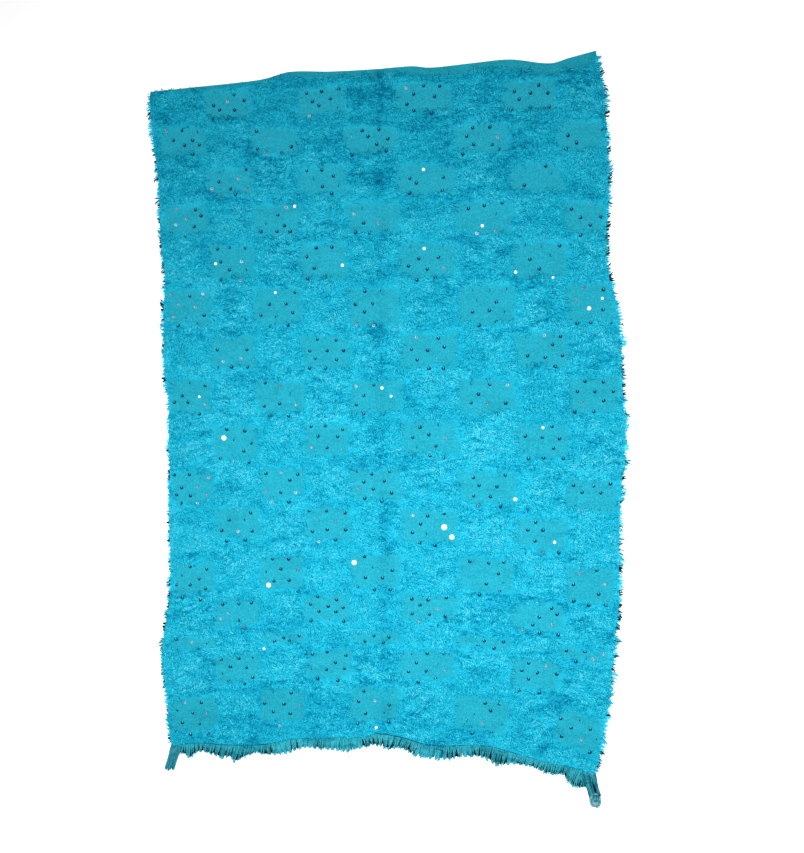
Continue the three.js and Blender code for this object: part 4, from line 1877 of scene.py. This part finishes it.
@dataclass
class Fringe:
    """The cut warp ends below the hem: yarns in layers that lean and clump together, over a low
    dark layer that paints the shadow between the clumps.
    """

    cloth: WovenCloth
    yarns: YarnWork
    start: float = 24.0
    stop: float = 14.0
    pitch: float = 2.3
    thickness: float = 1.5
    clump: float = 16.0
    gather: float = 22.0
    overlap: float = 2.5
    lean_left: float = -10.0
    lean_change: float = 8.0
    lean_span: Span = (150.0, 420.0)
    lean_wave: float = 6.0
    lean_stray: float = 3.0
    corner: float = 22.0
    gather_left: float = 0.4
    loose: float = 0.75
    loose_span: Span = (260.0, 120.0)
    length_wave: float = 0.1
    length_stray: float = 0.08
    pull_bend: float = 1.4
    lean_bend: float = 1.5
    waver: float = 0.8
    above_floor: float = 0.1
    spacings: Span = (0.75, 1.25)
    # The dark yarn along the hem that paints the shadow line where the fringe starts
    cord_thickness: float = 1.1
    cord_tone: float = -1.6
    cord_margin: float = 4.0
    cord_step: float = 5.0
    cord_inside: float = 1.2
    cord_height: float = 5.1
    cord_wave: float = 0.2
    # The first layer lies low and dark: its yarns paint the shadow between the clumps, near black in
    # patches
    layers: tuple[FringeLayer, ...] = (
        FringeLayer(0.84, 0.0, 1.45, 0.1, 0.85, 1.0, 1.0),
        FringeLayer(1.0, 0.42, 1.0, 0.45, 1.0, 2.8, 2.1),
        FringeLayer(0.95, 0.55, 1.0, 0.45, 1.0, 3.9, 2.7),
    )
    wave: SoftNoise = SoftNoise(31)

    def lean(self, rim: Rim, distance: float, rng: random.Random) -> float:
        """How far the tip of a yarn leans along the hem.

        Args:
            rim: The hem.
            distance: How far along the hem the yarn hangs.
            rng: Where chance comes from.

        Returns:
            The lean, towards the right corner.
        """
        lean = self.lean_left + self.lean_change * float(smooth(*self.lean_span, distance))
        lean += self.lean_wave * self.wave.one(distance, 120, 120)
        lean += self.lean_stray * rng.uniform(-1, 1)
        lean += self.gather * math.exp(-(rim.total - distance) / self.corner)
        return lean - self.gather_left * self.gather * math.exp(-distance / self.corner)

    def yarn(self, rim: Rim, distance: float, layer: FringeLayer, rng: random.Random) -> Yarn:
        """Makes one yarn of the fringe.

        Args:
            rim: The hem.
            distance: How far along the hem it hangs.
            layer: The layer that it is in.
            rng: Where chance comes from.

        Returns:
            The yarn.
        """
        root, normal, along = rim.frame(distance)
        group = round(distance / self.clump + 0.6 * self.wave.one(distance, 0, 37))
        held = 1 - self.loose * float(smooth(*self.loose_span, rim.total - distance))
        pull = (group * self.clump - distance) * layer.pull * held
        stations = column(FRINGE_LENGTHS, "x"), column(FRINGE_LENGTHS, "length")
        length = float(reading(*stations, root[:1])[0]) * layer.length
        uneven = self.length_wave * self.wave.one(group * 9.0, 80, 8)
        length *= 1.0 + uneven + self.length_stray * rng.uniform(-1, 1)
        lean = self.lean(rim, distance, rng)
        points, thick = [], []
        for share in (0.0, 0.25, 0.5, 0.75, 1.0):
            aside = pull * share**self.pull_bend + lean * share**self.lean_bend
            aside += self.waver * rng.uniform(-1, 1) * share
            spot = root + normal * (length * share - self.overlap) + along * aside
            thick.append(self.thickness * layer.size * (1.0 - layer.taper * share))
            high = layer.root + (layer.tip - layer.root) * share
            points.append((*spot, max(high, thick[-1] + self.above_floor)))
        tone = rng.random()
        # Painted shadow: the first layer is dark, and near black in patches
        if layer is self.layers[0]:
            painted_shadow = self.wave.one(distance, 300, 25) > -0.3
            tone = -5.0 - 3.0 * tone if painted_shadow else -0.4 - tone
        return Yarn(np.array(points), np.array(thick), tone)

    def painted_shadow_line(self, rim: Rim) -> Yarn:
        """Makes the dark yarn along the hem that paints the thin shadow line where the fringe starts.

        Args:
            rim: The hem.

        Returns:
            The yarn.
        """
        points = []
        for distance in np.arange(self.cord_margin, rim.total - self.cord_margin, self.cord_step):
            spot, normal, _ = rim.frame(float(distance))
            high = self.cord_height + self.cord_wave * math.sin(distance / 11)
            points.append((*(spot - normal * self.cord_inside), high))
        return Yarn(np.array(points), np.full(len(points), self.cord_thickness), self.cord_tone)

    def build(self, material: bpy.types.Material) -> bpy.types.Object:
        """Makes the fringe.

        Args:
            material: The yarns' finish.

        Returns:
            The fringe's piece.
        """
        rng = random.Random(71)
        rim = Rim(np.stack([self.cloth.x[-1], self.cloth.y[-1]], -1))
        made = [self.painted_shadow_line(rim)]
        for number, layer in enumerate(self.layers):
            distance = self.start + number * self.pitch / 2
            while distance < rim.total - self.stop:
                made.append(self.yarn(rim, distance, layer, rng))
                distance += self.pitch * layer.spacing * rng.uniform(*self.spacings)
        piece = self.yarns.make("hem_fringe", made, material)
        return settle(piece, "wool_fringe", "bottom_fringe")


@dataclass
class SideLocks:
    """The shag that hangs out past one side edge, with darker tufts low under the cloth's edge that
    paint its shadow.
    """

    cloth: WovenCloth
    yarns: YarnWork
    edge: Edge
    length: float
    seed: int
    clear: float = 14.0
    pitch: float = 1.9
    spacings: Span = (0.6, 1.4)
    thickness: float = 1.5
    taper: float = 0.55
    overlap: float = 4.0
    lengths: Span = (0.7, 1.2)
    tuft: float = 0.75
    lean: float = 0.5
    stray: float = 0.45
    bend: float = 1.6
    root_heights: Span = (2.6, 5.5)
    tip_height: float = 1.6
    arch: float = 1.5
    above_floor: float = 0.1
    # Tufts of painted shadow: where they start, their thickness, least length, root heights and tones
    painted_shadow_from: float = 0.42
    painted_shadow_size: float = 1.35
    painted_shadow_tuft: float = 0.85
    painted_shadow_heights: Span = (1.5, 2.6)
    painted_shadow_tones: Span = (-7.0, -2.0)

    def rim(self) -> Rim:
        """Reads the edge with the cloth on its left: down the left side, up the right.

        Returns:
            The edge as a path.
        """
        side = 0 if self.edge is Edge.LEFT else -1
        points = np.stack([self.cloth.x[:, side], self.cloth.y[:, side]], -1)
        return Rim(points if self.edge is Edge.LEFT else points[::-1])

    def lock(self, rim: Rim, distance: float, rng: random.Random) -> Yarn:
        """Makes one lock.

        Args:
            rim: The edge.
            distance: How far along the edge it hangs.
            rng: Where chance comes from.

        Returns:
            The lock as a yarn.
        """
        wave = SoftNoise(37 + self.edge.value)
        root, normal, along = rim.frame(distance)
        # A tuft of painted shadow: low, thick and near black
        under = wave.one(distance, 210, 11) + 0.5 * rng.uniform(-1, 1) > self.painted_shadow_from
        tuft = self.tuft + 0.5 * wave.one(distance, 0, 21) + 0.4 * max(wave.one(distance, 50, 9), 0)
        tuft = max(tuft, self.painted_shadow_tuft) if under else tuft
        length = self.length * tuft * rng.uniform(*self.lengths)
        lean = self.lean * wave.one(distance, 90, 40) + self.stray * rng.uniform(-1, 1)
        start = rng.uniform(*(self.painted_shadow_heights if under else self.root_heights))
        size = self.thickness * (self.painted_shadow_size if under else 1.0)
        points, thick = [], []
        for share in (0.0, 0.4, 0.75, 1.0):
            spot = root + normal * (length * share - self.overlap)
            spot = spot + along * length * lean * share**self.bend
            thick.append(size * (1.0 - self.taper * share**1.5))
            high = start * (1 - share) + self.tip_height * share + self.arch * share * (1 - share)
            points.append((*spot, max(high, thick[-1] + self.above_floor)))
        tone = rng.uniform(*self.painted_shadow_tones) if under else rng.random()
        return Yarn(np.array(points), np.array(thick), tone)

    def build(self, material: bpy.types.Material) -> bpy.types.Object:
        """Makes the locks of this edge.

        Args:
            material: The shag's finish.

        Returns:
            The piece.
        """
        rng = random.Random(self.seed)
        rim = self.rim()
        made: list[Yarn] = []
        distance = self.clear
        while distance < rim.total - self.clear:
            made.append(self.lock(rim, distance, rng))
            distance += self.pitch * rng.uniform(*self.spacings)
        name = self.edge.name.lower()
        piece = self.yarns.make(f"{name}_edge_tufts", made, material)
        return settle(piece, "wool_shag", f"{name}_edge_locks")


class Bundle(NamedTuple):
    """A bundle of a tail: the middles of its root and its end, its width at both, its yarns,
    and whether it is the near-black bundle on the floor that paints the shadow seen between the others."""

    x: float
    y: float
    end_x: float
    end_y: float
    width: float
    end: float
    count: int
    paints_shadow: bool = False


LEFT_BUNDLES = (
    Bundle(-669, -928, -692, -1003, 18, 17, 22),
    Bundle(-654, -923, -675, -1000, 22, 17, 22),
    Bundle(-663, -925, -684, -1000, 24, 16, 12, True),
)
RIGHT_BUNDLES = (
    Bundle(502, -938, 523, -1010, 32, 20, 34),
    Bundle(521, -941, 542, -1002, 20, 11, 18),
    Bundle(515, -941, 534, -1006, 16, 10, 8, True),
)


@dataclass
class CornerTail:
    """The long tail at one lower corner: bundles of felted yarn that lie on the surface."""

    yarns: YarnWork
    edge: Edge
    bundles: tuple[Bundle, ...]
    seed: int
    thickness: float = 1.8
    height: float = 7.0
    flatten: float = 0.3
    overlap: float = 4.0
    taper: float = 0.35
    lengths: Span = (0.84, 1.04)
    gather_span: Span = (0.0, 0.7)
    wave: float = 0.8
    above_floor: float = 0.1
    dark_share: float = 0.12
    tones: Span = (-0.5, 0.7)
    dark_tones: Span = (-1.8, -0.8)
    # Tones of the bundle that paints the shadow between the others
    painted_shadow_bundle_tones: Span = (-8.0, -5.0)

    def strand(self, bundle: Bundle, rng: random.Random) -> Yarn:
        """Makes one yarn of a bundle.

        Args:
            bundle: The bundle.
            rng: Where chance comes from.

        Returns:
            The yarn.
        """
        root = np.array([bundle.x, bundle.y])
        way = np.array([bundle.end_x, bundle.end_y]) - root
        reach = float(np.hypot(*way))
        normal = way / reach
        along = np.array([-normal[1], normal[0]])
        across, up = rng.uniform(-0.5, 0.5), rng.random() ** 1.3
        twist = rng.uniform(0, 2 * math.pi)
        length = reach * rng.uniform(*self.lengths)
        points, thick = [], []
        for share in np.linspace(0, 1, 9):
            wide = bundle.width + (bundle.end - bundle.width) * smooth(*self.gather_span, share)
            aside = across * (wide - 2 * self.thickness) + self.wave * math.sin(twist + 5 * share)
            high = up * (self.height - 2 * self.thickness) * (1 - self.flatten * share)
            spot = root + normal * (length * share - self.overlap) + along * aside
            thick.append(self.thickness * (1.0 - self.taper * share**3))
            points.append((*spot, thick[-1] + self.above_floor + (0.0 if bundle.paints_shadow else high)))
        tone = rng.uniform(*(self.tones if rng.random() > self.dark_share else self.dark_tones))
        # Painted shadow: the bundle on the floor between the others is near black
        tone = rng.uniform(*self.painted_shadow_bundle_tones) if bundle.paints_shadow else tone
        return Yarn(np.array(points), np.array(thick), tone)

    def build(self, material: bpy.types.Material, knot: Knot | None = None) -> bpy.types.Object:
        """Makes the tail.

        Args:
            material: The felted yarn's finish.
            knot: The knot at the tail's end, if it has one.

        Returns:
            The piece.
        """
        rng = random.Random(self.seed)
        made = [self.strand(bundle, rng) for bundle in self.bundles for _ in range(bundle.count)]
        made += knot.turns_of_yarn(rng) + knot.strands_over(rng) if knot else []
        name = self.edge.name.lower()
        piece = self.yarns.make(f"{name}_tail", made, material)
        return settle(piece, "wool_tail", f"{name}_corner_tail")


@dataclass(frozen=True)
class Knot:
    """The round knot at a tail's end, where its bundles are looped together."""

    x: float = 528.5
    y: float = -1012.5
    radius: float = 14.8
    stretch: float = 1.34
    height: float = 5.0
    turns: int = 13
    turn_step: float = 1.15
    turn_thickness: float = 1.8
    turn_wave: float = 0.4
    pale_turns: int = 4
    pale_tones: Span = (0.7, 1.7)
    inner_tones: Span = (-0.6, 1.2)
    strands: int = 9
    strand_step: float = 1.9
    strand_start: float = 17.0
    strand_length: float = 24.0
    strand_height: float = 7.5
    strand_arch: float = 2.2
    strand_drop: float = 3.5
    strand_wave: float = 1.2
    strand_thickness: float = 1.2
    strand_tones: Span = (-1.0, 1.1)

    def turns_of_yarn(self, rng: random.Random) -> list[Yarn]:
        """Makes the yarn that is wound round and round, palest outside.

        Args:
            rng: Where chance comes from.

        Returns:
            One yarn for each turn.
        """
        made = []
        for turn in range(self.turns):
            out = max(self.radius - self.turn_step * turn, 0.6)
            start = rng.uniform(0, 2 * math.pi)
            points = []
            for angle in np.linspace(0, 1.8 * math.pi, 16):
                x = self.x + out * math.cos(start + angle)
                y = self.y + self.stretch * out * math.sin(start + angle)
                dome = self.height * (1 - (out / self.radius) ** 2)
                wave = self.turn_wave * math.sin(3 * angle + turn)
                points.append((x, y, self.turn_thickness + 0.3 + dome + wave))
            tone = rng.uniform(*(self.pale_tones if turn < self.pale_turns else self.inner_tones))
            made.append(Yarn(np.array(points), np.full(len(points), self.turn_thickness), tone))
        return made

    def strands_over(self, rng: random.Random) -> list[Yarn]:
        """Makes the tail's strands that come down over the knot.

        Args:
            rng: Where chance comes from.

        Returns:
            The strands.
        """
        made = []
        for strand in range(self.strands):
            aside = -7.0 + self.strand_step * strand
            points = []
            for share in np.linspace(0, 1, 7):
                wave = self.strand_wave * math.sin(4 * share + strand)
                arch = self.strand_arch * math.sin(math.pi * min(share * 1.15, 1.0))
                high = self.strand_height + arch - self.strand_drop * share**4
                y = self.y + self.strand_start - self.strand_length * share
                points.append((self.x + aside * (1 - 0.5 * share) + wave, y, high))
            tone = rng.uniform(*self.strand_tones)
            made.append(Yarn(np.array(points), np.full(len(points), self.strand_thickness), tone))
        return made


@dataclass(frozen=True)
class Studio:
    """Floor, light and camera."""

    placement: Placement
    distance: float = 2320.0
    turn: float = math.radians(8.0)
    lens: float = 35.0
    sensor: float = 36.0
    key_energy: float = 54.0
    key_size: tuple[float, float] = (1.5, 0.5)
    key_place: tuple[float, float, float] = (0.12, -0.34, 2.45)
    key_spread: float = math.radians(133)
    world_strength: float = 0.26
    floor_half: float = 6.0
    floor_level: float = -0.0004
    floor_grey: float = 0.93
    floor_glow: float = 0.35

    def camera(self) -> None:
        """Makes the camera, which looks down on the blanket from a little to its right."""
        across, up = math.sin(self.turn), math.cos(self.turn)
        at = self.placement.points(*(np.array(self.distance * part) for part in (across, 0.0, up)))
        data = bpy.data.cameras.new("camera")
        data.lens, data.sensor_width = self.lens, self.sensor
        data.clip_start, data.clip_end = 0.1, 20.0
        camera = bpy.data.objects.new("camera", data)
        turned = Euler((0, self.turn, 0)).to_matrix().to_4x4()
        camera.matrix_world = Matrix.Translation(Vector(at)) @ turned
        bpy.context.scene.collection.objects.link(camera)
        bpy.context.scene.camera = camera

    def key_light(self) -> None:
        """Adds the soft light that shines straight down."""
        data = bpy.data.lights.new("key", "AREA")
        data.energy, data.shape = self.key_energy, "RECTANGLE"
        data.size, data.size_y = self.key_size
        data.spread = self.key_spread
        lamp = bpy.data.objects.new("key", data)
        lamp.location = self.key_place
        bpy.context.scene.collection.objects.link(lamp)

    def floor(self) -> None:
        """Lays the pale floor just under the blanket."""
        material, _, shader = new_material("pale floor")
        shader.inputs["Base Color"].default_value = (*[self.floor_grey] * 3, 1.0)
        shader.inputs["Roughness"].default_value = 0.9
        shader.inputs["Emission Color"].default_value = (1.0, 1.0, 1.0, 1.0)
        shader.inputs["Emission Strength"].default_value = self.floor_glow
        signs = ((-1, -1), (1, -1), (1, 1), (-1, 1))
        corners = [(a * self.floor_half, b * self.floor_half, self.floor_level) for a, b in signs]
        piece = bpy.data.objects.new("floor", mesh_from("floor", corners, [[0, 1, 2, 3]]))
        piece.data.materials.append(material)
        bpy.context.scene.collection.objects.link(piece)

    def build(self) -> None:
        """Makes the floor, the light, the world and the camera."""
        self.floor()
        self.key_light()
        world = bpy.data.worlds.new("studio")
        world.use_nodes = True
        sky = world.node_tree.nodes["Background"]
        sky.inputs["Color"].default_value = (1.0, 1.0, 1.0, 1.0)
        sky.inputs["Strength"].default_value = self.world_strength
        bpy.context.scene.world = world
        bpy.context.scene.view_settings.view_transform = "Standard"
        self.camera()


SHAG_WOOL = WoolFinish("shag wool", paint(0, 134, 176), paint(34, 195, 222), paint(98, 219, 237))
FRINGE_WOOL = WoolFinish("fringe wool", paint(8, 96, 114), paint(49, 159, 175), paint(76, 178, 192), 0.9)
TAIL_WOOL = WoolFinish("tail wool", paint(10, 72, 88), paint(42, 138, 152), paint(156, 172, 180), 0.9)


def main() -> None:
    """Builds the blanket in order."""
    logging.basicConfig(level=logging.INFO, format="%(name)s: %(message)s")
    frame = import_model()
    LOG.info("packed nodes: %s", ", ".join(frame["nodes"]))

    plan = BlanketPlan()
    placement = Placement.from_frame(plan)
    Studio(placement).build()

    tones = WoolTones().build()
    shag_wool = SHAG_WOOL.material(tones)
    tail_wool = TAIL_WOOL.material(tones)
    cloth = WovenCloth(plan, placement)
    weave = cloth.build(ClothFinish().material(tones, WeaveRelief().build()))
    Shag(cloth).build(shag_wool)
    SewnDiscs(cloth).build(DiscFinish().material(), shag_wool)

    yarns = YarnWork(placement)
    hangings = [
        Fringe(cloth, yarns).build(FRINGE_WOOL.material(tones)),
        SideLocks(cloth, yarns, Edge.LEFT, length=14.5, seed=43).build(shag_wool),
        SideLocks(cloth, yarns, Edge.RIGHT, length=18.0, seed=59).build(shag_wool),
        CornerTail(yarns, Edge.LEFT, LEFT_BUNDLES, seed=83).build(tail_wool),
        CornerTail(yarns, Edge.RIGHT, RIGHT_BUNDLES, seed=97).build(tail_wool, Knot()),
    ]


if __name__ == "__main__":
    main()
